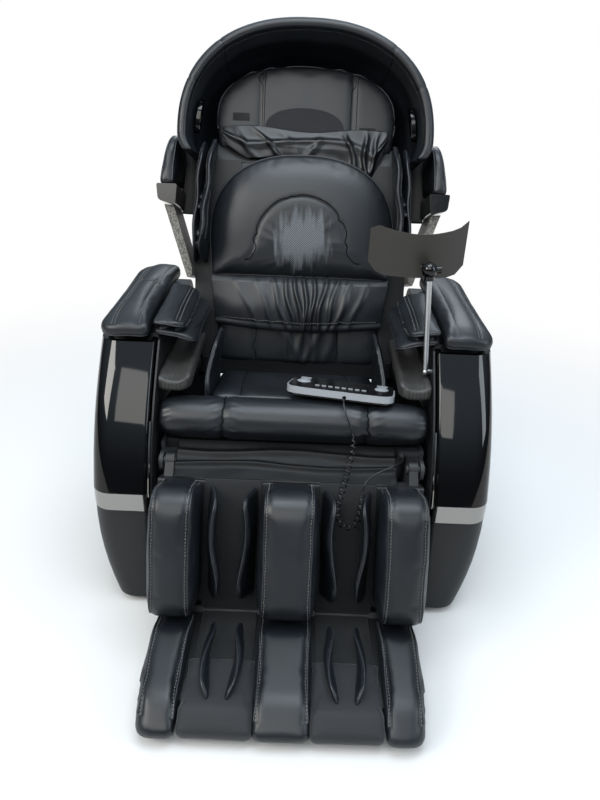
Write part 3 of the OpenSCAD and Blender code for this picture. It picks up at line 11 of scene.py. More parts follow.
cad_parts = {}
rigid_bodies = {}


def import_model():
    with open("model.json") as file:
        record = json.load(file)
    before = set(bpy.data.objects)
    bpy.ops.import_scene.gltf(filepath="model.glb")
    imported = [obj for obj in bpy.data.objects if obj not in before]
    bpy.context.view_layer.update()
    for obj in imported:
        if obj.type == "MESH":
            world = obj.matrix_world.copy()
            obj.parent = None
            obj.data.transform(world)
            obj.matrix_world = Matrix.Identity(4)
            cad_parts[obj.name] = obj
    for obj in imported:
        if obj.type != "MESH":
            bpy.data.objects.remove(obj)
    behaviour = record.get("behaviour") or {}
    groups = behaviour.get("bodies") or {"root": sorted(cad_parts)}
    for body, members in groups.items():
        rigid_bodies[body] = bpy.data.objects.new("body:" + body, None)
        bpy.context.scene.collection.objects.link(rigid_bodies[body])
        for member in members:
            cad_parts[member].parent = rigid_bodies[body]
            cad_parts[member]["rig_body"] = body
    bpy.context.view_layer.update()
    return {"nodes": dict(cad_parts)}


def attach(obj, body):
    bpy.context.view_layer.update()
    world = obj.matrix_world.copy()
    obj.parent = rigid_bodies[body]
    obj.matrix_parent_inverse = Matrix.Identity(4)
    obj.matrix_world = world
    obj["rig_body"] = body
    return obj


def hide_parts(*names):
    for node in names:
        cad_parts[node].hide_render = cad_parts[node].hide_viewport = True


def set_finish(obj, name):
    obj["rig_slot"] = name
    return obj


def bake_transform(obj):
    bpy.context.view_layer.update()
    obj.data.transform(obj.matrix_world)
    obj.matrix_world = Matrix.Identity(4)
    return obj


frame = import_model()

nodes = frame["nodes"]
scene = bpy.context.scene
scene.view_settings.view_transform = "Standard"
datumY = 123.0  # from the middle of the seat to the middle of the chair, in mm


def placeIn(y0, z0, lean):
    c, s = math.cos(math.radians(lean)), math.sin(math.radians(lean))
    return lambda x, y, z: Vector((x, y0 + y * c + z * s + datumY, z0 - y * s + z * c)) / 1000


# each takes mm along the chair's own parts and gives metres in the whole chair
inChair = placeIn(0, 0, 0)
inBack = placeIn(100, 400, 16.7)
inLeg = placeIn(-250, 335, 21)
inSeat = placeIn(-140, 462, 9)
armTilt = math.degrees(math.atan2(618 - 584, 320 + 152))
inArm = placeIn(-152, 584, -armTilt)
armIn, armOut = 312.0, 450.0

cameraFit = {"place": (8.1, -1486.5, 1104.9), "pitch": 26.0, "roll": 2.4, "yaw": 0.2, "lens": 28.41}


def makeCamera(fit):
    pitch, roll, yaw = (math.radians(fit[k]) for k in ("pitch", "roll", "yaw"))
    ahead = Vector((math.sin(yaw) * math.cos(pitch), math.cos(yaw) * math.cos(pitch), -math.sin(pitch)))
    side = Vector((math.cos(yaw), -math.sin(yaw), 0))
    up = side.cross(ahead)
    right = side * math.cos(roll) + up * math.sin(roll)
    up = up * math.cos(roll) - side * math.sin(roll)
    camera = bpy.data.objects.new("camera", bpy.data.cameras.new("camera"))
    scene.collection.objects.link(camera)
    camera.data.lens, camera.data.sensor_width = fit["lens"], 36
    turned = Matrix((right, up, -ahead)).transposed().to_4x4()
    turned.translation = inChair(*fit["place"])
    camera.matrix_world = turned
    scene.camera = camera


makeCamera(cameraFit)
print("camera placed")


def linear(code):
    values = [int(code[i : i + 2], 16) / 255 for i in (1, 3, 5)]
    return (*[v / 12.92 if v <= 0.04045 else ((v + 0.055) / 1.055) ** 2.4 for v in values], 1)


def addNode(tree, kind, settings=None, inputs=None):
    node = tree.nodes.new(kind)
    for key, value in (settings or {}).items():
        setattr(node, key, value)
    for key, value in (inputs or {}).items():
        if isinstance(value, bpy.types.NodeSocket):
            tree.links.new(value, node.inputs[key])
        else:
            node.inputs[key].default_value = value
    return node


def newMaterial(name):
    material = bpy.data.materials.new(name)
    material.use_nodes = True
    tree = material.node_tree
    tree.nodes.clear()
    surface = addNode(tree, "ShaderNodeBsdfPrincipled")
    addNode(tree, "ShaderNodeOutputMaterial", None, {"Surface": surface.outputs[0]})
    place = addNode(tree, "ShaderNodeTexCoord").outputs["Object"]
    return material, tree, surface, place


def leatherFinish(name, colour, light, grain=0.0022, wear=0.15, rough=0.40, crease=0.2):
    # polyurethane-coated leather, embossed: a soft sheen broken by pebbles and fine creases, dull where rubbed
    material, tree, surface, place = newMaterial(name)
    pebbles = addNode(tree, "ShaderNodeTexVoronoi", {"feature": "SMOOTH_F1"}, {"Vector": place, "Scale": 1 / grain, "Smoothness": 0.6})
    creases = addNode(tree, "ShaderNodeTexNoise", {"noise_type": "RIDGED_MULTIFRACTAL"}, {"Vector": place, "Scale": 16, "Detail": 5, "Roughness": 0.55, "Distortion": 0.5})
    cloud = addNode(tree, "ShaderNodeTexNoise", None, {"Vector": place, "Scale": 9, "Detail": 4})
    edges = addNode(tree, "ShaderNodeNewGeometry").outputs["Pointiness"]
    worn = addNode(tree, "ShaderNodeMapRange", None, {"Value": edges, "From Min": 0.52, "From Max": 0.60, "To Max": wear})
    tone = addNode(tree, "ShaderNodeMapRange", None, {"Value": cloud.outputs["Fac"], "From Min": 0.35, "From Max": 0.7, "To Max": 0.3})
    both = addNode(tree, "ShaderNodeMath", {"operation": "ADD", "use_clamp": True}, {0: worn.outputs[0], 1: tone.outputs[0]})
    mixed = addNode(tree, "ShaderNodeMix", {"data_type": "RGBA"}, {"Factor": both.outputs[0], 6: linear(colour), 7: linear(light)})
    dull = addNode(tree, "ShaderNodeMapRange", None, {"Value": cloud.outputs["Fac"], "From Min": 0.3, "From Max": 0.7, "To Min": rough - 0.04, "To Max": rough + 0.05})
    broad = addNode(tree, "ShaderNodeBump", None, {"Height": creases.outputs["Fac"], "Strength": crease, "Distance": 0.0012})
    fine = addNode(tree, "ShaderNodeBump", None, {"Height": pebbles.outputs["Distance"], "Strength": 0.3, "Distance": 0.0003, "Normal": broad.outputs[0]})
    for key, value in {"Base Color": mixed.outputs[2], "Roughness": dull.outputs[0], "Normal": fine.outputs[0]}.items():
        tree.links.new(value, surface.inputs[key])
    surface.inputs["IOR"].default_value = 1.48
    return material, tree, surface, place


blackLeather = leatherFinish("embossedBlackPuLeather", "#0c0f13", "#181d25", rough=0.40)[0]
liningLeather = leatherFinish("plainBlackPuLining", "#0e0f11", "#17181b", rough=0.5)[0]
pipingLeather = leatherFinish("rolledBlackPuPiping", "#16181c", "#2a2d33", rough=0.36, wear=0.4)[0]
satinLining = leatherFinish("crumpledBlackSatinCoat", "#08090c", "#101218", rough=0.36, crease=0.35)[0]
nylonParts = leatherFinish("coatedBlackNylonCloth", "#040506", "#090a0d", rough=0.5, crease=0.3)
nylonParts[2].inputs["Specular IOR Level"].default_value = 0.25
coatedNylon = nylonParts[0]


def mouldedFinish(name, colour, other, rough, grain, depth, gloss=0.5):
    # injection-moulded plastic: etched tool texture, faint flow marks
    material, tree, surface, place = newMaterial(name)
    etch = addNode(tree, "ShaderNodeTexNoise", None, {"Vector": place, "Scale": 1 / grain, "Detail": 3})
    flow = addNode(tree, "ShaderNodeTexNoise", None, {"Vector": place, "Scale": 6, "Detail": 3})
    mixed = addNode(tree, "ShaderNodeMix", {"data_type": "RGBA"}, {"Factor": flow.outputs["Fac"], 6: linear(colour), 7: linear(other)})
    dull = addNode(tree, "ShaderNodeMapRange", None, {"Value": flow.outputs["Fac"], "To Min": rough * 0.85, "To Max": rough * 1.15})
    bump = addNode(tree, "ShaderNodeBump", None, {"Height": etch.outputs["Fac"], "Strength": depth, "Distance": 0.0003})
    for key, value in {"Base Color": mixed.outputs[2], "Roughness": dull.outputs[0], "Normal": bump.outputs[0]}.items():
        tree.links.new(value, surface.inputs[key])
    surface.inputs["IOR"].default_value = 1.5
    surface.inputs["Specular IOR Level"].default_value = gloss
    return material, tree, surface, place


etchedAbs = mouldedFinish("etchedBlackAbs", "#111214", "#18191b", 0.46, 0.0012, 0.35, 0.4)[0]
remoteBlack = mouldedFinish("satinBlackAbs", "#0b0b0d", "#101113", 0.16, 0.002, 0.1)[0]
pianoAbs = mouldedFinish("polishedBlackAbs", "#030304", "#060607", 0.05, 0.05, 0.02, 0.4)[0]
greyNylon = mouldedFinish("mouldedGreyNylon", "#4a4946", "#555450", 0.45, 0.0012, 0.3)[0]
holderAbs = mouldedFinish("mouldedGreyBrownAbs", "#211f1b", "#292723", 0.45, 0.0012, 0.3)[0]
silverLacquer = mouldedFinish("silverLacqueredAbs", "#83868a", "#8f9296", 0.30, 0.0008, 0.15)[0]
blackRubber = mouldedFinish("mouldedBlackRubber", "#161616", "#1e1e1e", 0.7, 0.0008, 0.4)[0]
cordPvc = mouldedFinish("extrudedBlackPvc", "#101012", "#19191c", 0.30, 0.004, 0.1)[0]


def metalFinish(name, colour, rough, brushed=0.0):
    # metal: reflections carry it; drawn tube keeps fine lengthwise lines
    material, tree, surface, place = newMaterial(name)
    stretch = addNode(tree, "ShaderNodeMapping", None, {"Vector": place, "Scale": (900, 900, 12) if brushed else (40, 40, 40)})
    lines = addNode(tree, "ShaderNodeTexNoise", None, {"Vector": stretch.outputs[0], "Scale": 1, "Detail": 2})
    dull = addNode(tree, "ShaderNodeMapRange", None, {"Value": lines.outputs["Fac"], "To Min": rough * 0.8, "To Max": rough * 1.3})
    tree.links.new(dull.outputs[0], surface.inputs["Roughness"])
    surface.inputs["Base Color"].default_value = linear(colour)
    surface.inputs["Metallic"].default_value = 1
    waves = addNode(tree, "ShaderNodeTexNoise", None, {"Vector": place, "Scale": 14, "Detail": 1})
    wavy = addNode(tree, "ShaderNodeBump", None, {"Height": waves.outputs["Fac"], "Strength": 0.5, "Distance": 0.006})
    tree.links.new(wavy.outputs[0], surface.inputs["Normal"])
    if brushed:
        bump = addNode(tree, "ShaderNodeBump", None, {"Height": lines.outputs["Fac"], "Strength": brushed, "Distance": 0.0002})
        tree.links.new(bump.outputs[0], surface.inputs["Normal"])
    return material


platedAbs = metalFinish("chromePlatedAbs", "#92908d", 0.06)
drawnSteel = metalFinish("drawnSteelTube", "#b9bbbd", 0.28, 0.25)
coatedSteel = mouldedFinish("powderCoatedSteel", "#1f2124", "#27292c", 0.5, 0.0014, 0.4)[0]


def speckledFinish(name):
    # moulded strut with dark flecks in grey, and a polished black cap over its top end
    material, tree, surface, place = mouldedFinish(name, "#5f5c56", "#6c6963", 0.42, 0.0012, 0.3)
    flecks = addNode(tree, "ShaderNodeTexVoronoi", None, {"Vector": place, "Scale": 1 / 0.0030})
    dark = addNode(tree, "ShaderNodeMapRange", None, {"Value": flecks.outputs["Color"], "From Min": 0.5, "From Max": 0.6})
    low, high = inBack(0, 0, 437), inBack(0, 0, 440)
    up = Vector((0, math.sin(math.radians(16.7)), math.cos(math.radians(16.7))))
    height = addNode(tree, "ShaderNodeVectorMath", {"operation": "DOT_PRODUCT"}, {0: place, 1: up})
    cap = addNode(tree, "ShaderNodeMapRange", None, {"Value": height.outputs["Value"], "From Min": low.dot(up), "From Max": high.dot(up)})
    base = surface.inputs["Base Color"].links[0].from_socket
    flecked = addNode(tree, "ShaderNodeMix", {"data_type": "RGBA"}, {"Factor": dark.outputs[0], 6: base, 7: linear("#3a3835")})
    capped = addNode(tree, "ShaderNodeMix", {"data_type": "RGBA"}, {"Factor": cap.outputs[0], 6: flecked.outputs[2], 7: linear("#060607")})
    gloss = addNode(tree, "ShaderNodeMapRange", None, {"Value": cap.outputs[0], "To Min": 0.42, "To Max": 0.06})
    tree.links.new(capped.outputs[2], surface.inputs["Base Color"])
    tree.links.new(gloss.outputs[0], surface.inputs["Roughness"])
    return material


speckledAbs = speckledFinish("speckledGreyAbs")


def wovenFinish(name, colour, light, thread, rough=0.85, depth=0.6):
    # plain weave: two crossed sets of threads, drawn coarser than real so that they show
    material, tree, surface, place = newMaterial(name)
    waves = []
    for direction in ("X", "Z"):
        waves.append(addNode(tree, "ShaderNodeTexWave", {"bands_direction": direction}, {"Vector": place, "Scale": 0.314 / thread, "Distortion": 0.4, "Detail": 1}))
    cross = addNode(tree, "ShaderNodeMath", {"operation": "MULTIPLY"}, {0: waves[0].outputs["Fac"], 1: waves[1].outputs["Fac"]})
    mixed = addNode(tree, "ShaderNodeMix", {"data_type": "RGBA"}, {"Factor": cross.outputs[0], 6: linear(colour), 7: linear(light)})
    bump = addNode(tree, "ShaderNodeBump", None, {"Height": cross.outputs[0], "Strength": depth, "Distance": 0.0006})
    for key, value in {"Base Color": mixed.outputs[2], "Normal": bump.outputs[0]}.items():
        tree.links.new(value, surface.inputs[key])
    surface.inputs["Roughness"].default_value = rough
    surface.inputs["Sheen Weight"].default_value = 0.15
    return material


blackPolyester = wovenFinish("wovenBlackPolyester", "#0c0c0e", "#18181b", 0.0016)
# black velour lining for the leg wells, coloured darker still: partly its own colour, partly painted shade deep in the
# wells
wellVelourAndShade = wovenFinish("brushedBlackVelour", "#05070a", "#0b0e13", 0.0018, 0.8, 0.4)
soleVelour = wovenFinish("brushedNavyVelour", "#0a0c10", "#13161c", 0.0018, 0.7, 0.3)
# painted shade: dull near-black tubes laid along the seams stand in for the shade in their creases
seamShade = mouldedFinish("shadedSeamThread", "#020203", "#040405", 0.9, 0.0012, 0.2, 0.1)[0]
# painted shade: near-black cloth kept dull, for the sheets in the gaps behind and beside the seat, so that they read as
# the shade there
shadeLiningCloth = mouldedFinish("dullBlackLiningCloth", "#050607", "#090a0c", 0.9, 0.0012, 0.4, 0.12)[0]
hookTape = wovenFinish("blackHookTape", "#0b0b0c", "#1a1a1c", 0.0022)
spacerMesh = wovenFinish("knittedBlackSpacerMesh", "#08090d", "#15171f", 0.0036, depth=1.0)
sewingThread = wovenFinish("bondedGreyThread", "#6a6863", "#8a8781", 0.0009)


def perforatedFinish(name):
    # perforated leather: a grid of small round holes in a grey embossed face
    material, tree, surface, place = leatherFinish(name, "#2b2a29", "#3a3937", rough=0.5)
    spread = addNode(tree, "ShaderNodeVectorMath", {"operation": "MULTIPLY"}, {0: place, 1: (1 / 0.0085, 1 / 0.0085, 0)})
    cell = addNode(tree, "ShaderNodeVectorMath", {"operation": "FRACTION"}, {0: spread.outputs[0]})
    centred = addNode(tree, "ShaderNodeVectorMath", {"operation": "DISTANCE"}, {0: cell.outputs[0], 1: (0.5, 0.5, 0)})
    hole = addNode(tree, "ShaderNodeMapRange", None, {"Value": centred.outputs["Value"], "From Min": 0.15, "From Max": 0.2, "To Min": 1, "To Max": 0})
    base = surface.inputs["Base Color"].links[0].from_socket
    pierced = addNode(tree, "ShaderNodeMix", {"data_type": "RGBA"}, {"Factor": hole.outputs[0], 6: base, 7: linear("#0c0c0c")})
    tree.links.new(pierced.outputs[2], surface.inputs["Base Color"])
    return material


perforatedLeather = perforatedFinish("perforatedGreyPuLeather")


def wornPadFinish(name):
    # the coating has rubbed off low in the middle, so the pale knitted backing shows through in a ragged patch
    material, tree, surface, place = leatherFinish(name, "#0d1014", "#1a1e26", rough=0.40)
    middle = inBack(0, -20, 372)
    shift = addNode(tree, "ShaderNodeVectorMath", {"operation": "SUBTRACT"}, {0: place, 1: middle})
    shape = addNode(tree, "ShaderNodeVectorMath", {"operation": "MULTIPLY"}, {0: shift.outputs[0], 1: (1 / 0.074, 0, 1 / 0.078)})
    far = addNode(tree, "ShaderNodeVectorMath", {"operation": "LENGTH"}, {0: shape.outputs[0]})
    streaks = addNode(tree, "ShaderNodeMapping", None, {"Vector": place, "Scale": (75, 6, 11)})
    ragged = addNode(tree, "ShaderNodeTexNoise", None, {"Vector": streaks.outputs[0], "Scale": 1, "Detail": 5, "Roughness": 0.6, "Distortion": 0.3})
    edge = addNode(tree, "ShaderNodeMath", {"operation": "MULTIPLY_ADD"}, {0: ragged.outputs["Fac"], 1: 1.9, 2: -0.95})
    field = addNode(tree, "ShaderNodeMath", {"operation": "ADD"}, {0: far.outputs["Value"], 1: edge.outputs[0]})
    patch = addNode(tree, "ShaderNodeMapRange", None, {"Value": field.outputs[0], "From Min": 0.55, "From Max": 1.0, "To Min": 1, "To Max": 0})
    turned = addNode(tree, "ShaderNodeMapping", None, {"Vector": place, "Rotation": (0, math.radians(45), 0), "Scale": (1, 0, 1.05)})
    weave = addNode(tree, "ShaderNodeTexVoronoi", {"feature": "F1"}, {"Vector": turned.outputs[0], "Scale": 1 / 0.0042, "Randomness": 0.1})
    knots = addNode(tree, "ShaderNodeMapRange", None, {"Value": weave.outputs["Distance"], "From Min": 0.2, "From Max": 0.5, "To Min": 0.9, "To Max": 0.25})
    cover = addNode(tree, "ShaderNodeMath", {"operation": "MULTIPLY"}, {0: patch.outputs[0], 1: knots.outputs[0]})
    base = surface.inputs["Base Color"].links[0].from_socket
    rubbed = addNode(tree, "ShaderNodeMix", {"data_type": "RGBA"}, {"Factor": cover.outputs[0], 6: base, 7: linear("#6c7074")})
    dull = addNode(tree, "ShaderNodeMapRange", None, {"Value": patch.outputs[0], "To Min": 0.40, "To Max": 0.85})
    tree.links.new(rubbed.outputs[2], surface.inputs["Base Color"])
    tree.links.new(dull.outputs[0], surface.inputs["Roughness"])
    return material


wornLeather = wornPadFinish("rubbedBlackPuLeather")


def glassFinish(name):
    # smoked acrylic over an unlit display: near black, very smooth
    material, tree, surface, place = newMaterial(name)
    smear = addNode(tree, "ShaderNodeTexNoise", None, {"Vector": place, "Scale": 40, "Detail": 4})
    dull = addNode(tree, "ShaderNodeMapRange", None, {"Value": smear.outputs["Fac"], "To Min": 0.03, "To Max": 0.12})
    tree.links.new(dull.outputs[0], surface.inputs["Roughness"])
    surface.inputs["Base Color"].default_value = linear("#0a0c0e")
    return material


smokedAcrylic = glassFinish("smokedAcrylic")
whiteNylon = mouldedFinish("mouldedWhiteNylon", "#c9ccb8", "#d8dac8", 0.4, 0.001, 0.2)[0]
print("materials made")


def newPiece(name, verts, faces, material, body, slot, smooth=True):
    mesh = bpy.data.meshes.new(name)
    mesh.from_pydata([tuple(v) for v in verts], [], faces)
    mesh.update()
    piece = bpy.data.objects.new(name, mesh)
    scene.collection.objects.link(piece)
    dress(piece, material, body, slot, smooth)
    return piece


def dress(piece, material, body, slot, smooth=True):
    piece.data.materials.clear()
    piece.data.materials.append(material)
    piece.data.polygons.foreach_set("use_smooth", [smooth] * len(piece.data.polygons))
    if body:
        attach(piece, body)
    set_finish(piece, slot)


def outward(piece):
    work = bmesh.new()
    work.from_mesh(piece.data)
    bmesh.ops.recalc_face_normals(work, faces=work.faces)
    work.to_mesh(piece.data)
    work.free()


def settle(piece):
    # modifiers become plain mesh
    bpy.context.view_layer.update()
    made = bpy.data.meshes.new_from_object(piece.evaluated_get(bpy.context.evaluated_depsgraph_get()))
    piece.modifiers.clear()
    old, piece.data = piece.data, made
    bpy.data.meshes.remove(old)
    return piece


def spots(piece):
    flat = np.empty(len(piece.data.vertices) * 3, np.float32)
    piece.data.vertices.foreach_get("co", flat)
    return flat.reshape(-1, 3).astype(float)


def setSpots(piece, points):
    piece.data.vertices.foreach_set("co", np.ascontiguousarray(points, np.float32).ravel())
    piece.data.update()


def outNormals(piece):
    flat = np.empty(len(piece.data.vertices) * 3, np.float32)
    piece.data.vertex_normals.foreach_get("vector", flat)
    return flat.reshape(-1, 3).astype(float)


def relax(piece, rounds, keep=True):
    # evens out facets; with keep, every second step undoes the shrinking
    edges = np.empty(len(piece.data.edges) * 2, np.int32)
    piece.data.edges.foreach_get("vertices", edges)
    edges = edges.reshape(-1, 2)
    points = spots(piece)
    count = np.bincount(edges.ravel(), minlength=len(points))[:, None]
    for k in range(rounds * (2 if keep else 1)):
        total = np.zeros_like(points)
        np.add.at(total, edges[:, 0], points[edges[:, 1]])
        np.add.at(total, edges[:, 1], points[edges[:, 0]])
        points += (total / np.maximum(count, 1) - points) * (-0.52 if keep and k % 2 else 0.5)
    setSpots(piece, points)


def inflate(piece, cap, pressure=4.0, frames=20, wrinkle=1.0):
    # blown up like a stuffed cover; no point moves further than cap
    start = spots(piece)
    cloth = piece.modifiers.new("cloth", "CLOTH")
    cloth.settings.use_pressure = True
    cloth.settings.uniform_pressure_force = pressure
    cloth.settings.effector_weights.gravity = 0
    cloth.settings.quality = 4
    cloth.settings.tension_stiffness = 12
    cloth.settings.compression_stiffness = 12
    cloth.settings.bending_stiffness = 0.4 * wrinkle
    cloth.point_cache.frame_start, cloth.point_cache.frame_end = 1, frames
    for k in range(1, frames + 1):
        scene.frame_set(k)
    shown = piece.evaluated_get(bpy.context.evaluated_depsgraph_get()).data
    flat = np.empty(len(shown.vertices) * 3, np.float32)
    shown.vertices.foreach_get("co", flat)
    move = flat.reshape(-1, 3) - start
    size = np.linalg.norm(move, axis=1, keepdims=True)
    piece.modifiers.clear()
    scene.frame_set(1)
    setSpots(piece, start + move / np.maximum(size, 1e-9) * cap * np.tanh(size / cap))


def refine(piece, levels=1):
    sub = piece.modifiers.new("sub", "SUBSURF")
    sub.levels = sub.render_levels = levels
    settle(piece)


def rounded(corners, steps=8):
    # corners given as x, y, radius, counter-clockwise, become one line with round corners
    out = []
    for i, (x, y, r) in enumerate(corners):
        b, a, c = Vector((x, y)), Vector(corners[i - 1][:2]), Vector(corners[(i + 1) % len(corners)][:2])
        if r <= 0:
            out.append(b)
            continue
        u, v = (a - b).normalized(), (c - b).normalized()
        half = u.angle(v) / 2
        o = b + (u + v).normalized() * r / math.sin(half)
        p, q = b + u * r / math.tan(half) - o, b + v * r / math.tan(half) - o
        start = math.atan2(p.y, p.x)
        turn = (math.atan2(q.y, q.x) - start + 3 * math.pi) % (2 * math.pi) - math.pi
        out += [o + r * Vector((math.cos(start + turn * k / steps), math.sin(start + turn * k / steps))) for k in range(steps + 1)]
    return out


def evenLoop(line, step=5.0):
    loop = np.array([tuple(p) for p in line] + [tuple(line[0])], float)
    along = np.concatenate([[0], np.cumsum(np.linalg.norm(np.diff(loop, axis=0), axis=1))])
    at = np.linspace(0, along[-1], max(12, int(along[-1] / step)), endpoint=False)
    return [Vector((float(np.interp(t, along, loop[:, 0])), float(np.interp(t, along, loop[:, 1])))) for t in at]


def padRings(spec):
    # the sections of a padded form, from the heart of one face round the rolled edge to the other
    line = evenLoop(spec["line"] if "line" in spec else rounded(spec["corners"]))
    n, thick, edge, crown = len(line), spec["thick"], spec["edge"], spec["crown"]
    heart = Vector(spec["heart"]) if "heart" in spec else Vector([(max(p[k] for p in line) + min(p[k] for p in line)) / 2 for k in (0, 1)])
    out = []
    for i in range(n):
        along = line[(i + 1) % n] - line[i - 1]
        out.append(Vector((along.y, -along.x)).normalized())
    inner = [line[i] - out[i] * edge for i in range(n)]
    half = [([heart + (p - heart) * s for p in inner], crown * s * s) for s in (0.2, 0.4, 0.6, 0.8, 0.92)]
    for k in range(5):
        a = math.pi / 8 * k
        half.append(([line[i] - out[i] * edge * (1 - math.sin(a)) for i in range(n)], crown + edge * (1 - math.cos(a))))
    flat = thick - 2 * (crown + edge)
    walls = [(line, crown + edge + flat * k / 8) for k in range(1, 8)] if flat > 12 else []
    return half + walls + [(ring, thick - h) for ring, h in reversed(half)], heart


def padForm(spec):
    rings, heart = padRings(spec)
    place, n, m = spec["place"], len(rings[0][0]), len(rings)
    verts = [place(p[0], p[1], h) for ring, h in rings for p in ring] + [place(*heart, 0), place(*heart, spec["thick"])]
    faces = [(k * n + i, (k + 1) * n + i, (k + 1) * n + (i + 1) % n, k * n + (i + 1) % n) for k in range(m - 1) for i in range(n)]
    faces += [(n * m, i, (i + 1) % n) for i in range(n)]
    faces += [(n * m + 1, (m - 1) * n + (i + 1) % n, (m - 1) * n + i) for i in range(n)]
    return verts, faces


def rimOf(spec, keep=lambda p: True, at=0.5, inset=0.0):
    # the outline of a padded form as a line in the chair, from the first point kept to the last
    line = evenLoop(spec["line"] if "line" in spec else rounded(spec["corners"]), 4.0)
    flags = [keep(p) for p in line]
    if not all(flags):
        start = next(i for i in range(len(line)) if flags[i] and not flags[i - 1])
        line = [line[(start + k) % len(line)] for k in range(len(line)) if flags[(start + k) % len(line)]]
    middle = sum(line, Vector((0, 0))) / len(line)
    return [spec["place"](*(p + (middle - p).normalized() * inset), spec["thick"] * at) for p in line]


def filled(mesh, parts):
    verts, faces = [], []
    for v, f in parts:
        base = len(verts)
        verts += [tuple(p) for p in v]
        faces += [tuple(i + base for i in face) for face in f]
    mesh.from_pydata(verts, [], faces)
    mesh.update()


def fitTo(piece, low, high):
    points = spots(piece)
    a, b = points.min(0), points.max(0)
    setSpots(piece, low + (points - a) * (high - low) / (b - a))


def softFrom(name, sources, body, material, slot, forms=None, voxel=0.006, rounds=3, cap=0.004, fold=None, only=None, fit=True):
    # a stuffed piece in the space of its CAD solids: remeshed, smoothed, blown up and fitted to their box again
    work = bmesh.new()
    for source in sources:
        work.from_mesh(nodes[source].data)
    bmesh.ops.remove_doubles(work, verts=work.verts, dist=2e-5)
    if only:
        keep, left = set(), set(work.verts)
        while left:
            island, todo = [], [left.pop()]
            while todo:
                v = todo.pop()
                island.append(v)
                for e in v.link_edges:
                    o = e.other_vert(v)
                    if o in left:
                        left.discard(o)
                        todo.append(o)
            if only(sum((v.co for v in island), Vector()) / len(island)):
                keep.update(island)
        bmesh.ops.delete(work, geom=[v for v in work.verts if v not in keep], context="VERTS")
    corners = np.array([tuple(v.co) for v in work.verts])
    low, high = corners.min(0), corners.max(0)
    mesh = bpy.data.meshes.new(name)
    if forms:
        filled(mesh, forms)
    else:
        work.to_mesh(mesh)
    work.free()
    piece = bpy.data.objects.new(name, mesh)
    scene.collection.objects.link(piece)
    outward(piece)
    remesh = piece.modifiers.new("remesh", "REMESH")
    remesh.mode, remesh.voxel_size = "VOXEL", voxel
    settle(piece)
    relax(piece, rounds)
    if fold:
        fold(piece)
    if cap:
        inflate(piece, cap)
        relax(piece, 3)
    if fit:
        fitTo(piece, low, high)
    refine(piece)
    dress(piece, material, body, slot)
    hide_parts(*sources)
    return piece


def laidOn(piece, line, lift=0.0004):
    # a line dropped on a piece's surface and evened out
    tree = treeOf(piece)
    on = []
    for p in line:
        spot, normal, _, _ = tree.find_nearest(p)
        on.append(spot + normal * lift)
    for _ in range(4):
        on = [on[0]] + [(on[i - 1] + 2 * on[i] + on[i + 1]) / 4 for i in range(1, len(on) - 1)] + [on[-1]]
    return on


def smoothCopy(name, source, material, slot, angle=35):
    # a node's loose triangles merged again, with only its real edges kept sharp
    piece = bpy.data.objects.new(name, nodes[source].data.copy())
    scene.collection.objects.link(piece)
    work = bmesh.new()
    work.from_mesh(piece.data)
    bmesh.ops.remove_doubles(work, verts=work.verts, dist=2e-5)
    for edge in work.edges:
        edge.smooth = len(edge.link_faces) == 2 and edge.calc_face_angle(math.pi) < math.radians(angle)
    work.to_mesh(piece.data)
    work.free()
    dress(piece, material, nodes[source]["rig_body"], slot)
    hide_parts(source)
    return piece


def treeOf(piece):
    mesh = piece.data
    return BVHTree.FromPolygons([v.co for v in mesh.vertices], [tuple(p.vertices) for p in mesh.polygons])


def spaced(line, step):
    line = np.array([tuple(p) for p in line], float)
    along = np.concatenate([[0], np.cumsum(np.linalg.norm(np.diff(line, axis=0), axis=1))])
    at = np.linspace(0, along[-1], max(2, int(along[-1] / step) + 1))
    return [Vector([float(np.interp(t, along, line[:, k])) for k in range(3)]) for t in at]


def carve(piece, line, width, depth):
    # a valley pressed into the surface along a line
    tree = KDTree(len(line))
    for i, p in enumerate(line):
        tree.insert(p, i)
    tree.balance()
    points = spots(piece)
    far = np.array([tree.find(p)[2] for p in points])
    setSpots(piece, points - outNormals(piece) * (depth * np.exp(-((far / width) ** 2)))[:, None])


def ripple(piece, size, amount, stretch=(1, 1, 1), seed=0.0, keep=None):
    # soft creases from ridged noise
    points, normals = spots(piece), outNormals(piece)
    shift = Vector((seed, seed * 1.7, -seed))
    push = np.array([noise.fractal(Vector((p[0] / size * stretch[0], p[1] / size * stretch[1], p[2] / size * stretch[2])) + shift, 0.6, 2.1, 3) for p in points])
    if keep is not None:
        push = push * keep(points)
    setSpots(piece, points + normals * (push * amount)[:, None])


stitchRows = {}


def sew(piece, body, points, rows=(-1, 1), gap=0.0042, valley=(0.012, 0.0022), crease=(0.0028, 0.0018), step=0.004):
    # a seam on a piece: a shallow valley with a sharp crease in it, and rows of stitches beside it
    tree = treeOf(piece)
    line = []
    for p in spaced(points, step):
        spot, normal, _, _ = tree.find_nearest(p)
        if spot is not None:
            line.append(spot)
    if len(line) < 3:
        return
    for _ in range(5):
        line = [line[0]] + [(line[i - 1] + 2 * line[i] + line[i + 1]) / 4 for i in range(1, len(line) - 1)] + [line[-1]]
    if valley:
        carve(piece, line, *valley)
    if crease:
        carve(piece, line, *crease)
    tree = treeOf(piece)
    for row in rows:
        stitches = []
        for i, p in enumerate(line):
            spot, normal, _, _ = tree.find_nearest(p)
            ahead = (line[min(i + 1, len(line) - 1)] - line[max(i - 1, 0)])
            if ahead.length < 1e-6:
                continue
            side = ahead.normalized().cross(normal)
            near, facing, _, _ = tree.find_nearest(spot + side * gap * row)
            stitches.append(near + facing * 0.0003)
        stitchRows.setdefault(body, []).append(stitches)


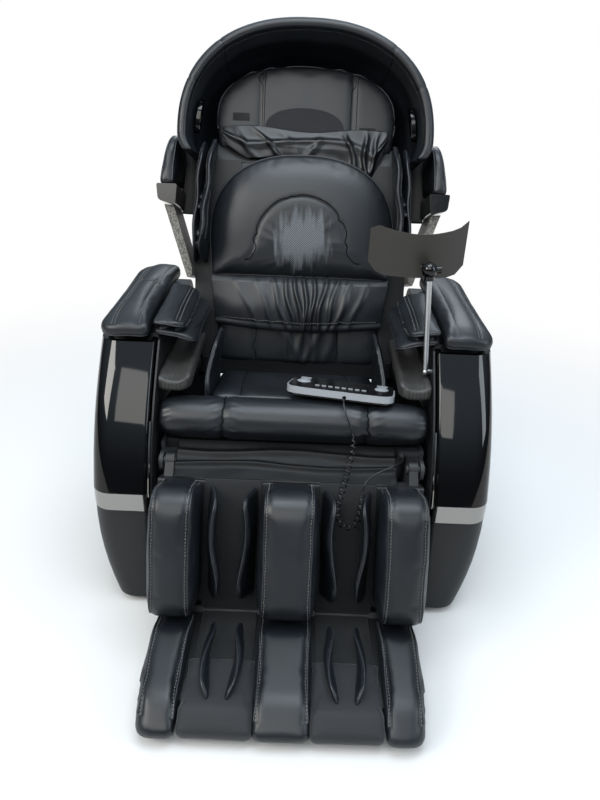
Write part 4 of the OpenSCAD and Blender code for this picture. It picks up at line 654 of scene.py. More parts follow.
def wall(name, rings, material, body, slot, bevel=0.0, closed=True):
    # a closed wall: each ring goes out along one face and back along the other; strips close its ends
    n, m = len(rings[0]), len(rings)
    verts = [p for ring in rings for p in ring]
    faces = [(k * n + i, k * n + (i + 1) % n, (k + 1) * n + (i + 1) % n, (k + 1) * n + i) for k in range(m - 1) for i in range(n)]
    top = (m - 1) * n
    for i in range(n // 2 - 1):
        j, k, q = i + 1, n - 1 - i, n - 2 - i
        faces += [(i, j, q, k), (top + k, top + q, top + j, top + i)]
    piece = newPiece(name, verts, faces, material, body, slot)
    outward(piece)
    if bevel:
        edge = piece.modifiers.new("bevel", "BEVEL")
        edge.width, edge.segments, edge.limit_method, edge.angle_limit = bevel, 3, "ANGLE", math.radians(50)
        settle(piece)
    return piece


def mirrored(piece, name, body=None):
    mesh = piece.data.copy()
    mesh.transform(Matrix.Scale(-1, 4, (1, 0, 0)))
    mesh.flip_normals()
    other = bpy.data.objects.new(name, mesh)
    scene.collection.objects.link(other)
    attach(other, body or piece["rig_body"])
    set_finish(other, piece["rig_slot"])
    return other


def catmull(points, per):
    points = [Vector(p) for p in points]
    out = []
    for i in range(len(points) - 1):
        a, b, c, d = points[max(i - 1, 0)], points[i], points[i + 1], points[min(i + 2, len(points) - 1)]
        for k in range(per):
            f = k / per
            out.append(b + 0.5 * f * (c - a + f * (2 * a - 5 * b + 4 * c - d + f * (3 * (b - c) + d - a))))
    return out + [points[-1]]


def tube(name, line, radius, sides, material, body, slot):
    rings, u = [], None
    for i, p in enumerate(line):
        ahead = (line[min(i + 1, len(line) - 1)] - line[max(i - 1, 0)]).normalized()
        if u is None:
            u = ahead.orthogonal().normalized()
        u = (u - ahead * u.dot(ahead)).normalized()
        v = ahead.cross(u)
        rings.append([p + radius * (u * math.cos(2 * math.pi * k / sides) + v * math.sin(2 * math.pi * k / sides)) for k in range(sides)])
    n, m = sides, len(rings)
    verts = [q for ring in rings for q in ring] + [line[0], line[-1]]
    faces = [(k * n + i, k * n + (i + 1) % n, (k + 1) * n + (i + 1) % n, (k + 1) * n + i) for k in range(m - 1) for i in range(n)]
    faces += [(m * n, (i + 1) % n, i) for i in range(n)] + [(m * n + 1, (m - 1) * n + i, (m - 1) * n + (i + 1) % n) for i in range(n)]
    piece = newPiece(name, verts, faces, material, body, slot)
    outward(piece)
    return piece


def edgeOf(piece, place, centre, count=90, thin=0):
    # the outermost line of a thin piece, seen square on: place gives the piece's two wide directions
    origin = place(*centre)
    u = (place(centre[0] + (thin != 0) * 100, centre[1] + (thin == 0) * 100, centre[2]) - origin).normalized()
    v = (place(centre[0], centre[1], centre[2] + 100) - origin).normalized()
    points = spots(piece) - np.array(origin)
    a, b = points @ np.array(u), points @ np.array(v)
    turn, far = np.arctan2(b, a), np.hypot(a, b)
    slice_ = ((turn / (2 * math.pi) + 0.5) * count).astype(int) % count
    line = []
    for k in range(count):
        own = np.flatnonzero(slice_ == k)
        if len(own):
            top = own[far[own] > far[own].max() - 0.0025]
            line.append(points[top].mean(0) + np.array(origin))
    line = np.array(line)
    for _ in range(2):
        line = (np.roll(line, 1, 0) + 2 * line + np.roll(line, -1, 0)) / 4
    return [Vector(p) for p in line]


pipes = {}


def pipeAlong(body, line, radius=0.0019, ring=False):
    if ring:
        line = line + line[:2]
    pipes.setdefault(body, []).append((line, radius))


seams = {}


# a thin near-black tube sunk along a seam: painted shade of the seam's crease
def seamShadeLine(body, piece, points, radius):
    seams.setdefault(body, []).append((laidOn(piece, spaced(points, 0.004), 0.0), radius))


def joined(name, parts, material, body, slot):
    verts, faces = [], []
    for v, f in parts:
        base = len(verts)
        verts += v
        faces += [tuple(i + base for i in face) for face in f]
    piece = newPiece(name, verts, faces, material, body, slot)
    outward(piece)
    return piece


def tubeParts(line, radius, sides=8):
    verts, faces, u = [], [], None
    for i, p in enumerate(line):
        ahead = (line[min(i + 1, len(line) - 1)] - line[max(i - 1, 0)]).normalized()
        u = ahead.orthogonal().normalized() if u is None else (u - ahead * u.dot(ahead)).normalized()
        v = ahead.cross(u)
        verts += [p + radius * (u * math.cos(2 * math.pi * k / sides) + v * math.sin(2 * math.pi * k / sides)) for k in range(sides)]
    m = len(line)
    faces = [(k * sides + i, k * sides + (i + 1) % sides, (k + 1) * sides + (i + 1) % sides, (k + 1) * sides + i) for k in range(m - 1) for i in range(sides)]
    faces += [tuple(range(sides))[::-1], tuple(range((m - 1) * sides, m * sides))]
    return verts, faces


def patchOn(name, base, place, outline, lift, material, body, slot, step=0.004, along=(0, 1, 0), bulge=0.0, crush=0.0):
    # a flat patch lying on a piece: its outline is filled with a grid that is dropped on the surface
    tree = treeOf(base)
    ahead = (place(*along) - place(0, 0, 0)).normalized()
    xs, zs = [p[0] for p in outline], [p[1] for p in outline]
    nx, nz = max(3, int((max(xs) - min(xs)) / (step * 1000))), max(3, int((max(zs) - min(zs)) / (step * 1000)))
    mx, mz = sum(xs) / len(xs), sum(zs) / len(zs)
    rings, n, m = [], len(outline), max(nx, nz) // 2
    verts, faces = [], []
    for k in range(m + 1):
        s = k / m
        for x, z in outline:
            px, pz = mx + (x - mx) * s, mz + (z - mz) * s
            start = place(px, -150, pz)
            hit = tree.ray_cast(start, ahead)[0] or tree.find_nearest(place(px, 0, pz))[0]
            rise = lift * (1 if k < m else 0.0) + bulge * (1 - s * s)
            if crush:
                rise += crush * noise.noise(Vector((px / 5, pz / 30, 3)))
            verts.append(hit - ahead * rise)
    faces = [(k * n + i, k * n + (i + 1) % n, (k + 1) * n + (i + 1) % n, (k + 1) * n + i) for k in range(m) for i in range(n)]
    piece = newPiece(name, verts, faces, material, body, slot)
    work = bmesh.new()
    work.from_mesh(piece.data)
    bmesh.ops.remove_doubles(work, verts=work.verts, dist=1e-5)
    bmesh.ops.recalc_face_normals(work, faces=work.faces)
    work.to_mesh(piece.data)
    work.free()
    if sum(p.normal.dot(-ahead) for p in piece.data.polygons) < 0:
        piece.data.flip_normals()
    return piece


# the remote's cord: a lead to the bolster, a curly stretch down to the legs, and a tail to the strain relief
cordSpec = {"diameter": 3.6, "outside": 15.5, "curls": 23, "perCurl": 16, "sides": 10}
socketTop = (115.2, -187.3, 485.6)
leadRoute = [socketTop, (113.3, -196.9, 487.7), (111, -208, 487), (110, -221, 486), (111, -233, 480), (115, -243, 469), (122, -250, 455), (129, -255, 440), (132, -259, 428)]
coilRoute = [(132, -259, 428), (134, -266, 417), (131, -288, 399), (124, -312, 376), (114, -338, 340), (106, -352, 304), (107, -360, 276), (117, -365, 258), (133, -366, 254), (147, -360, 266), (154, -350, 290), (156, -342, 314), (158, -337, 334)]
tailRoute = [(158, -337, 334), (160, -334, 343), (168, -327, 354), (184, -319, 363), (206, -308, 369), (228, -292, 371), (243, -276, 369), (250, -264, 367), (250, -252, 367)]


def curlyLine(route, spec):
    middle = [Vector(p) for p in catmull(route, 14)]
    run = [0.0]
    for a, b in zip(middle, middle[1:]):
        run.append(run[-1] + (b - a).length)
    total = spec["curls"] * spec["perCurl"]
    radius, out = (spec["outside"] - spec["diameter"]) / 2, []
    for k in range(total + 1):
        u = k / total
        s = u * run[-1]
        i = max(j for j in range(len(run) - 1) if run[j] <= s + 1e-9)
        f = (s - run[i]) / (run[i + 1] - run[i])
        centre = middle[i].lerp(middle[i + 1], f)
        ahead = (middle[min(i + 2, len(middle) - 1)] - middle[max(i - 1, 0)]).normalized()
        lean = math.radians(21)
        side = ahead.cross(Vector((0, -math.cos(lean), math.sin(lean)))).normalized()
        front = side.cross(ahead)
        grow = min(1, 12 * max(0, min(u, 1 - u) - 0.013))
        turn = 2 * math.pi * spec["curls"] * u
        out.append(centre + grow * radius * (side * math.cos(turn) + front * math.sin(turn)))
    return out


def makeCords():
    lead = [inChair(*p) for p in catmull(leadRoute, 8)]
    lead = spaced(lead, 0.003)
    leadCord = tube("remoteLead", lead, cordSpec["diameter"] / 2000, cordSpec["sides"], cordPvc, None, "cord_plastic")
    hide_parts("cord_lead")
    length = sum((b - a).length for a, b in zip(lead, lead[1:]))
    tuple(inChair(112, -205, 487))
    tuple(inChair(132, -258, 430))
    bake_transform(leadCord)
    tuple(lead[0])
    curly = [inChair(*p) for p in curlyLine(coilRoute, cordSpec)]
    tail = [inChair(*p) for p in catmull(tailRoute, 8)][1:]
    whole = curly + tail
    curlyCord = tube("curlyCord", whole, cordSpec["diameter"] / 2000, cordSpec["sides"], cordPvc, None, "cord_plastic")
    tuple(inChair(132, -262, 362))
    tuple(inChair(132, -362, 256))
    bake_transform(curlyCord)
    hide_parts("cord_coil", "cord_tail")
    length = sum((b - a).length for a, b in zip(whole, whole[1:]))
    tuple(whole[0])
    print("cords made, curly one", round(length, 3), "m")


makeCords()

nodeFinish = {
    "base_rails": coatedSteel, "base_crossbars": coatedSteel, "base_feet": blackRubber, "control_box": etchedAbs,
    "power_switch": pianoAbs, "air_pump": greyNylon, "rear_wheel_left": blackRubber, "rear_wheel_right": blackRubber,
    "skirts": etchedAbs, "chrome_bands": platedAbs, "arm_front_left": pianoAbs, "arm_front_right": pianoAbs,
    "arm_side_left": etchedAbs, "arm_side_right": etchedAbs, "stand_mast": drawnSteel, "stand_knuckle": pianoAbs,
    "stand_plate": holderAbs, "seat_frame": coatedSteel, "remote_case": pianoAbs, "remote_bezel": silverLacquer,
    "remote_ring_left": silverLacquer, "remote_ring_right": silverLacquer, "remote_power_key": silverLacquer,
    "remote_pause_key": silverLacquer, "remote_key_row": silverLacquer, "cord_relief": blackRubber,
    "back_frame": coatedSteel, "back_shell": etchedAbs, "hood_speakers": pianoAbs, "wing_struts": speckledAbs,
    "roller_carriage": greyNylon, "roller_arm_left": greyNylon, "roller_arm_right": greyNylon,
    "calf_shell": etchedAbs, "foot_shell": etchedAbs, "actuators": coatedSteel,
}
for name, material in nodeFinish.items():
    for slotted in nodes[name].material_slots:
        slotted.material = material
print("frame finished")

# arms
armLength = math.hypot(320 + 152, 618 - 584)
armSeams = {"inner": armIn + 46, "outer": armOut - 30, "from": -2, "to": armLength - 46}


def noseOf(x, y, h):
    e, w = min(1, max(0, (34 - y) / 60)), min(1, max(0, (x - armIn - 70) / 68))
    return inArm(x - 5 * w * w * h / 56, y + 12 * e * h / 56, h * (1 - 0.16 * e - 0.22 * w * w))


armPad = {"corners": [(armIn + 22, -8, 16), (armOut - 1, -8, 40), (armOut - 1, armLength - 40, 70), (armIn + 22, armLength - 40, 30)],
          "thick": 56, "edge": 12, "crown": 9, "place": noseOf}


def forearmLeaf(k):
    return {"corners": [(armIn - 82 + 24 * k, 22, 30), (armIn + 19, 22, 8), (armIn + 19, 272, 8), (armIn - 82 + 24 * k, 272, 40)],
            "thick": 26, "edge": 7, "crown": 5,
            "place": lambda x, y, h: inArm(x, y, h - 14 * ((armIn + 20 - x) / 82) ** 2 - 1.7 + 26.5 * k)}


bedPad = {"corners": [(armIn - 76, -196, 26), (armIn, -196, 10), (armIn, 70, 6), (armIn - 76, 70, 20)], "thick": 30, "edge": 6, "crown": 3,
          "place": lambda x, y, h: inChair(x, y, 496 + h + 16 * ((x - 276) / 36) ** 2 * h / 30 + 0.08 * y)}


def flipped(parts):
    return parts + [([Vector((-p[0], p[1], p[2])) for p in v], [f[::-1] for f in faces]) for v, faces in parts]


def otherSide(line):
    return [Vector((-p.x, p.y, p.z)) for p in line]


def makeArms():
    left = softFrom("armCushionLeft", ["arm_cushion_left"], "base", blackLeather, "black_leather", [padForm(armPad)], cap=0.004)
    right = mirrored(left, "armCushionRight")
    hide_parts("arm_cushion_right")
    for piece, side in ((left, 1), (right, -1)):
        for x, rows in ((armSeams["inner"], (1,)), (armSeams["outer"], (-1, 1))):
            sew(piece, "base", [inArm(side * x, y, 80) for y in range(armSeams["from"], int(armSeams["to"]), 12)], rows)
    sew(right, "base", [inArm(-x, 262, 80) for x in range(int(armSeams["inner"]), int(armSeams["outer"]), 8)], (1,))
    rim = rimOf(armPad, lambda p: p.y < 300, 0.24, 0.6)
    for piece, line in ((left, rim), (right, otherSide(rim))):
        pipeAlong("base", laidOn(piece, line), 0.0016)
    cells = softFrom("forearmCellLeft", ["forearm_cell_left"], "base", blackLeather, "black_leather",
                     [padForm(forearmLeaf(0)), padForm(forearmLeaf(1))], 0.0045, cap=0.0035)
    others = mirrored(cells, "forearmCellRight")
    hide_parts("forearm_cell_right")
    for piece, side in ((cells, 1), (others, -1)):
        for k, inset in ((0, 62), (1, 42)):
            sew(piece, "base", [inArm(side * (armIn - inset), y, 20 + 34 * k) for y in range(38, 262, 8)], (-1, 1), valley=(0.006, 0.0012), crease=None)
    for k in (0, 1):
        rim = rimOf(forearmLeaf(k), lambda p: p.x < armIn + 6)
        for piece, line in ((cells, rim), (others, otherSide(rim))):
            pipeAlong("base", laidOn(piece, line), 0.0016)
    softFrom("forearmBeds", ["forearm_beds"], "base", perforatedLeather, "bed_fabric", flipped([padForm(bedPad)]), 0.005, cap=0.002)
    print("arms made")


seatPad = {"corners": [(-202, 9, 24), (202, 9, 24), (202, 232, 24), (-202, 232, 24)], "thick": 66, "edge": 12, "crown": 7,
           "place": lambda x, y, h: inSeat(x, y, h - 66)}
hipPad = {"corners": [(26, 0, 10), (222, 0, 10), (218, 120, 50), (166, 200, 44), (88, 168, 60), (26, 74, 40)], "thick": 24, "edge": 6, "crown": 5,
          "place": lambda y, z, h: inSeat(204.4 + h - 26 * min(1, max(0, (z - 82) / 120)) ** 1.5, y, z - 66)}
bolsterSpec = {"wide": 2 * armIn - 16, "diameter": 108, "y": -195.5, "z": 420.5, "channels": (0.24, 0.77)}


def bolsterForm(spec, sides=64, steps=150):
    verts, faces = [], []
    for i in range(steps + 1):
        u = 0.5 - 0.5 * math.cos(math.pi * i / steps)
        radius = spec["diameter"] / 2 * (1 - 0.045 * sum(math.exp(-(((u - c) / 0.010) ** 2)) for c in spec["channels"])) - 12 * abs(2 * u - 1) ** 14
        for k in range(sides):
            a = 2 * math.pi * k / sides
            c, s = math.cos(a), math.sin(a)
            verts.append(inChair((u - 0.5) * spec["wide"], spec["y"] + radius * c * (0.94 if s < -0.2 else 1), spec["z"] + radius * s * (0.92 if s < 0 else 1)))
    faces = [(i * sides + k, i * sides + (k + 1) % sides, (i + 1) * sides + (k + 1) % sides, (i + 1) * sides + k) for i in range(steps) for k in range(sides)]
    faces += [tuple(range(sides))[::-1], tuple(range(steps * sides, (steps + 1) * sides))]
    return verts, faces


def makeSeat():
    seat = softFrom("seatCushion", ["seat_cushion"], "base", blackLeather, "black_leather", [padForm(seatPad)], 0.0065, cap=0.004)
    for side in (-1, 1):
        sew(seat, "base", [inSeat(side * 130, y, 40) for y in range(14, 226, 8)], ())
        seamShadeLine("base", seat, [inSeat(side * 130, y, 4) for y in range(14, 226, 8)], 0.0011)
    spec = bolsterSpec

    def puckers(piece):
        # short creases that run round the roll beside each channel and at its ends
        points, normals = spots(piece), outNormals(piece)
        u = points[:, 0] * 1000 / spec["wide"] + 0.5
        near = sum(np.exp(-((np.abs(u - c) - 0.035) / 0.03) ** 2) for c in (*spec["channels"], -0.02, 1.02))
        turn = np.arctan2(points[:, 2] - inChair(0, 0, spec["z"]).z, points[:, 1] - inChair(0, spec["y"], 0).y)
        waves = np.sin(turn * 17 + 3 * np.sin(u * 31)) + 0.6 * np.sin(turn * 29 + 11 * u)
        setSpots(piece, points + normals * (near * waves * 0.0010)[:, None])

    bolster = softFrom("seatBolster", ["seat_bolster"], "base", blackLeather, "black_leather", [bolsterForm(spec)], cap=0.003, fold=puckers)
    for u in spec["channels"]:
        x = (u - 0.5) * spec["wide"]
        seamShadeLine("base", bolster, [inChair(x, spec["y"] - 80 * math.sin(a / 20), spec["z"] + 80 * math.cos(a / 20)) for a in range(-28, 50, 2)], 0.0011)
        sew(bolster, "base", [inChair(x, spec["y"] - 80 * math.sin(a / 20), spec["z"] + 80 * math.cos(a / 20)) for a in range(-28, 50, 2)], ())
    hips = softFrom("hipLeaves", ["hip_cells"], "base", blackLeather, "black_leather", flipped([padForm(hipPad)]), 0.0045, cap=0.003)
    rim = rimOf(hipPad, lambda p: p.y > 8)
    for line in (rim, otherSide(rim)):
        pipeAlong("base", laidOn(hips, line), 0.0022)
    print("seat made")


def sheetOf(name, spotAt, cols, rows, thick, material, body, slot):
    # a thin cloth: spotAt(u, v, d) gives a point, d being how far it stands proud
    rings = []
    for i in range(cols + 1):
        u = i / cols
        rings.append([spotAt(u, v / rows, thick / 2) for v in range(rows, -1, -1)] + [spotAt(u, v / rows, -thick / 2) for v in range(rows + 1)])
    return wall(name, rings, material, body, slot)


apronSpec = {"from": (-222, 377), "to": (-311, 332), "left": -armIn + 50, "right": armIn - 76, "folds": ((0.30, 0.08, 6.0, 0.4), (0.62, 0.06, 7.0, 2.2))}


def makeCloths():
    spec = apronSpec

    def apronSpot(u, v, d):
        lift = sum(high * math.exp(-(((v - at - 0.05 * math.sin(2.6 * u * math.pi + turn)) / wide) ** 2)) for at, wide, high, turn in spec["folds"])
        lift -= 5 * math.sin(math.pi * v)
        lift += 1.6 * noise.noise(Vector((u * 7, v * 4, 5))) * math.sin(math.pi * v)
        y = spec["from"][0] + (spec["to"][0] - spec["from"][0]) * v
        z = spec["from"][1] + (spec["to"][1] - spec["from"][1]) * v
        return inChair(spec["left"] + (spec["right"] - spec["left"]) * u, y - 0.25 * lift - 0.4 * d, z + lift + d)

    apron = sheetOf("kneeApron", apronSpot, 120, 70, 1.2, coatedNylon, None, "apron_cloth")
    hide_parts("knee_apron")
    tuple(inChair(0, -232, 373))
    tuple(inChair(0, -301, 338))
    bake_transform(apron)

    def gussetSpot(u, v, d):
        a, b = inSeat(-262 + 524 * u, 214, -8), inBack(-262 + 524 * u, 10, 46)
        sag = 0.022 * math.sin(math.pi * v) + 0.003 * noise.noise(Vector((u * 8, v * 3, 1))) * math.sin(math.pi * v)
        return a.lerp(b, v) - Vector((0, 0, sag)) + Vector((0, -0.5, 0.8)) * d / 1000

    # the gusset behind the seat: a sheet across the gap, near black and dull as painted shade
    gusset = sheetOf("seatGusset", gussetSpot, 60, 16, 1.4, shadeLiningCloth, None, "apron_cloth")
    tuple(inChair(0, 88, 424))
    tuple(inChair(0, 116, 436))
    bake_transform(gusset)

    def sideSpot(side):
        def spot(u, v, d):
            x = side * (204 + 103 * u)
            sag = 14 * math.sin(math.pi * u) + 2 * noise.noise(Vector((u * 3, v * 7, side)))
            return inChair(x, -136 + 262 * v, 428 - 14 * v - sag + d + 6 * u)
        return spot

    # cloths beside the seat, under the arms: near black and dull as painted shade in those gaps
    for side, name in ((1, "sideClothLeft"), (-1, "sideClothRight")):
        cloth = sheetOf(name, sideSpot(side), 14, 40, 1.4, shadeLiningCloth, "base", "black_leather")
    print("cloths made")


# back
padSpec = {"wide": 242, "low": 268, "high": 578, "front": 16, "crown": 34, "thick": 26}
shoeLine = [(-140, 292), (-130, 326), (-120, 372), (-101, 416), (-68, 451), (-31, 468), (0, 472), (33, 467), (70, 448), (100, 412), (118, 368), (131, 324), (152, 292)]


def archOf(x, spec=padSpec):
    c = min(1, abs(x) / spec["wide"]) ** (1 / 0.88)
    tall = spec["high"] - spec["low"]
    return spec["low"] + 0.3 * tall + 0.7 * tall * (1 - c * c) ** 0.4


def backPadForm(spec):
    tall, wide = spec["high"] - spec["low"], spec["wide"]
    line = [(-wide + 6 + (2 * wide - 12) * k / 8, 0) for k in range(9)]
    for k in range(61):
        c, s = math.cos(math.pi * k / 60), math.sin(math.pi * k / 60)
        line.append((wide * math.copysign(abs(c) ** 0.88, c), tall * (0.30 + 0.70 * max(s, 0) ** 0.80)))
    line, heart = evenLoop(line), Vector((0, tall * 0.42))
    rings = [(0.25, 0), (0.5, 0), (0.75, 0), (0.97, 0), (0.99, 3), (1, 8), (1, 17), (0.998, 22)]
    rings += [(s, spec["thick"] + spec["crown"] * (1 - s**3.4)) for s in (0.985, 0.97, 0.95, 0.92, 0.89, 0.85, 0.8, 0.74, 0.68, 0.6, 0.52, 0.44, 0.36, 0.27, 0.18, 0.09)]
    n, m = len(line), len(rings)
    at = lambda p, d: inBack(p[0], spec["front"] - d, spec["low"] + p[1])
    verts = [at(heart + (p - heart) * s, d) for s, d in rings for p in line] + [at(heart, 0), at(heart, 60)]
    faces = [(k * n + i, (k + 1) * n + i, (k + 1) * n + (i + 1) % n, k * n + (i + 1) % n) for k in range(m - 1) for i in range(n)]
    faces += [(n * m, i, (i + 1) % n) for i in range(n)] + [(n * m + 1, (m - 1) * n + (i + 1) % n, (m - 1) * n + i) for i in range(n)]
    return (verts, faces), [at(p, 20) for p in line]


def makeBackPad():
    form, rim = backPadForm(padSpec)
    foot = inBack(0, 0, padSpec["low"])
    up = (inBack(0, 0, 1000) - inBack(0, 0, 0)).normalized()

    def creased(piece):
        # creases that fan out from the rubbed place
        points, normals = spots(piece), outNormals(piece)
        across, height = points[:, 0], (points - np.array(foot)) @ np.array(up) - 0.070
        turn, far = np.arctan2(height, across), np.hypot(across, height)
        waves = np.sin(turn * 19 + 2.3 * np.sin(turn * 7) + far * 22) * np.exp(-(((far - 0.075) / 0.045) ** 2))
        setSpots(piece, points + normals * (waves * 0.0006)[:, None])

    pad = softFrom("backPad", ["back_pad"], "back", wornLeather, "black_leather", [form], 0.0062, cap=0.003, fold=creased)
    shoe = [inBack(p.x, -80, p.z) for p in catmull([(x, 0, z) for x, z in shoeLine], 12)]
    sew(pad, "back", shoe, (), valley=(0.008, 0.0018), crease=(0.0026, 0.0016))
    seamShadeLine("back", pad, shoe, 0.0011)
    pipeAlong("back", laidOn(pad, rim), 0.0024, True)


drapeSpec = {"top": 276, "hem": 142, "bow": 16, "wide": (238, 222), "folds": (
    (0.13, 0.26, 0.020, 3), (0.24, 0.36, 0.017, 4), (0.33, 0.44, 0.015, 6), (0.41, 0.48, 0.014, 8), (0.47, 0.52, 0.012, 10), (0.53, 0.545, 0.012, 11),
    (0.585, 0.575, 0.012, 10), (0.65, 0.61, 0.014, 9), (0.72, 0.66, 0.015, 7), (0.80, 0.71, 0.018, 5), (0.89, 0.80, 0.020, 3))}


def makeDrape():
    spec = drapeSpec
    lowerPad = {"corners": [(-214, 34, 24), (214, 34, 24), (222, 264, 6), (-222, 264, 6)], "thick": 19.5, "edge": 6, "crown": 4,
                "place": lambda x, z, h: inBack(x, 16 - h, z)}

    def gathered(piece):
        points, normals = spots(piece), outNormals(piece)
        height = (points - np.array(inBack(0, 0, 0))) @ np.array((0, math.sin(math.radians(16.7)), math.cos(math.radians(16.7))))
        push = np.zeros(len(points))
        for x0, x1, wide, high in ((-0.050, -0.022, 0.007, 1.0), (-0.026, -0.004, 0.006, 1.4), (0.004, 0.012, 0.006, 1.7), (0.032, 0.026, 0.006, 1.4), (0.060, 0.042, 0.008, 1.0), (0.095, 0.075, 0.010, 0.6)):
            middle = x1 + (x0 - x1) * np.clip((height - 0.03) / 0.12, 0, 1) + 0.004 * np.sin(height * 60 + x0 * 90)
            push += high * np.exp(-(((points[:, 0] - middle) / wide) ** 2))
        face = np.clip(-normals[:, 1], 0, 1)
        setSpots(piece, points + normals * (push * face * 0.0050)[:, None])

    lower = softFrom("lumbarPad", ["lumbar_drape"], "back", blackLeather, "black_leather", [padForm(lowerPad)], cap=0.003, fold=gathered,
                     only=lambda c: c.z < inBack(0, 0, 170).z)
    for x in (-118, 112):
        sew(lower, "back", [inBack(x, -20, z) for z in range(44, 150, 8)], ())
        seamShadeLine("back", lower, [inBack(x, -20, z) for z in range(44, 150, 8)], 0.0009)

    def drapeSpot(u, v, d):
        c = 2 * u - 1
        z = spec["top"] + (spec["hem"] - spec["bow"] * math.sin(math.pi * u) - spec["top"]) * v
        out = 22 * math.sin(math.radians(150) * v) * (1 - abs(c) ** 3)
        grow = min(1, 0.35 + 0.75 * math.sin(math.pi * min(1, v * 0.9)))
        for a, b, wide, high in spec["folds"]:
            middle = a + (b - a) * v + 0.008 * math.sin(7 * v + 20 * a)
            out += high * grow * math.exp(-(((u - middle) / wide) ** 2))
        out += 3.0 * noise.noise(Vector((u * 5, v * 2.2, 1))) * math.sin(math.pi * v)
        out += 1.4 * math.exp(-(((v - 0.955) / 0.03) ** 2)) - 1.4 * math.exp(-(((v - 0.885) / 0.012) ** 2))
        wide = spec["wide"][0] + (spec["wide"][1] - spec["wide"][0]) * v
        dip = 10 * max(0, 1 - v / 0.16)
        return inBack(wide * c, 16 - 24.0 - out + dip - d, z)

    drape = sheetOf("lumbarDrape", drapeSpot, 200, 56, 1.8, blackLeather, "back", "black_leather")
    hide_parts("lumbar_drape")
    hemLine = [inBack(-216 + 432 * i / 80, -60, spec["hem"] - spec["bow"] * math.sin(math.pi * i / 80) + 14) for i in range(81)]
    sew(drape, "back", hemLine, (0.4,), valley=None, crease=None)
    print("back pads made")


hoodSpec = {"low": 566, "radius": 310, "top": 874, "thick": 26, "rim": -92, "stitch": 30}


def hoodStation(t):
    leg, r, top = 0.05, hoodSpec["radius"], hoodSpec["top"]
    shoulder = top - r * 0.86
    if t < leg:
        f = t / leg
        return (r - 16 * (1 - f) ** 2, hoodSpec["low"] + (shoulder - hoodSpec["low"]) * f), (1.0, 0.0)
    if t > 1 - leg:
        (x, z), (u, v) = hoodStation(1 - t)
        return (-x, z), (-u, v)
    a, e = math.pi * (t - leg) / (1 - 2 * leg), 2 / 2.3
    c, s = math.cos(a), max(math.sin(a), 1e-6)
    sign = 1 if c >= 0 else -1
    u, v = sign * abs(c) ** (2 - e) / r, s ** (2 - e) / (r * 0.86)
    size = math.hypot(u, v)
    return (r * sign * abs(c) ** e, shoulder + r * 0.86 * s**e), (u / size, v / size)


hoodOuter = [(-11, -2), (-6, -1), (3, 4), (7, 13), (6, 22), (2.5, 29), (1, 33), (2.5, 40), (1, 110), (-5, 160), (-24, 205), (-58, 236), (-98, 246)]
hoodInner = [(-11, -2), (-14, 0), (-17, 6), (-18, 15), (-17, 25), (-16, 32), (-20, 44), (-26, 66), (-26, 105), (-29, 140), (-46, 176), (-74, 204), (-100, 214)]


def profile(points, count):
    line = catmull([(p[0], 0, p[1]) for p in points], 10)
    even = spaced([Vector(p) for p in line], 0.05)
    return [even[round(k * (len(even) - 1) / (count - 1))] for k in range(count)]


def onHood(t, near, deep):
    (x, z), (u, v) = hoodStation(t)
    return inBack(x + u * near, hoodSpec["rim"] + deep, z + v * near)


def makeHood():
    outer, inner = profile(hoodOuter, 60), profile(hoodInner, 58)
    loop = outer[1:] + inner[::-1][:-1]
    loop = loop[: len(loop) // 2 * 2]
    rings, count = [], 190
    for i in range(count + 1):
        t = i / count
        (x, z), (u, v) = hoodStation(t)
        ring = []
        for k, p in enumerate(loop):
            inside = k >= len(outer) - 1
            soft = 1.2 * noise.fractal(Vector((x / 90, p[2] / 70, z / 90)), 0.6, 2.0, 2)
            if inside and p[2] > 46:
                soft += 1.6 * noise.noise(Vector((t * 16, p[2] / 120, 7)))
            near = p[0] + soft * min(1, max(0, (p[2] - 4) / 30)) * (-1 if inside else 1)
            ring.append(inBack(x + u * near, hoodSpec["rim"] + p[2], z + v * near))
        rings.append(ring)
    hood = wall("hood", rings, blackLeather, "back", "black_leather")
    relax(hood, 2)
    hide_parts("hood")
    steps = [0.03 + 0.94 * i / 150 for i in range(151)]
    for near, deep in ((4, hoodSpec["stitch"]), (-18, hoodSpec["stitch"])):
        sew(hood, "back", [onHood(t, near, deep) for t in steps], (1,), valley=(0.006, 0.0014), crease=(0.0022, 0.0012))
    for side in (0, 1):
        at = lambda t: 1 - t if side else t
        gusset = [onHood(at(0.30 - 0.012 * min(1, deep / 60)), near, deep) for near, deep in
                  ((1, 150), (1, 120), (1, 90), (1, 60), (2, 42), (6, 22), (3, 4), (-12, -3), (-17, 6), (-18, 20), (-20, 44), (-26, 70), (-26, 100), (-29, 140), (-46, 176))]
        sew(hood, "back", spaced(gusset, 0.004), (), valley=(0.004, 0.0010), crease=(0.002, 0.0016))
        seamShadeLine("back", hood, gusset, 0.0009)
        short = [onHood(at(0.175), near, deep) for near, deep in ((1, 60), (2, 42), (6, 22), (3, 4), (-12, -3), (-17, 6), (-18, 20), (-18, 38))]
        sew(hood, "back", spaced(short, 0.004), (), valley=(0.004, 0.0010), crease=(0.002, 0.0016))
    print("hood made")


headSpec = {"wide": 236, "low": 600, "high": 808, "seams": (-121, 121)}
clothSpec = {"wide": 216, "top": 650, "edge": ((-216, 618), (-196, 596), (-172, 578), (-150, 566), (-120, 568), (-90, 575), (-60, 580), (-30, 583), (0, 583), (40, 580), (80, 575), (110, 566), (140, 552), (165, 536), (178, 530), (190, 552), (204, 588), (216, 628))}


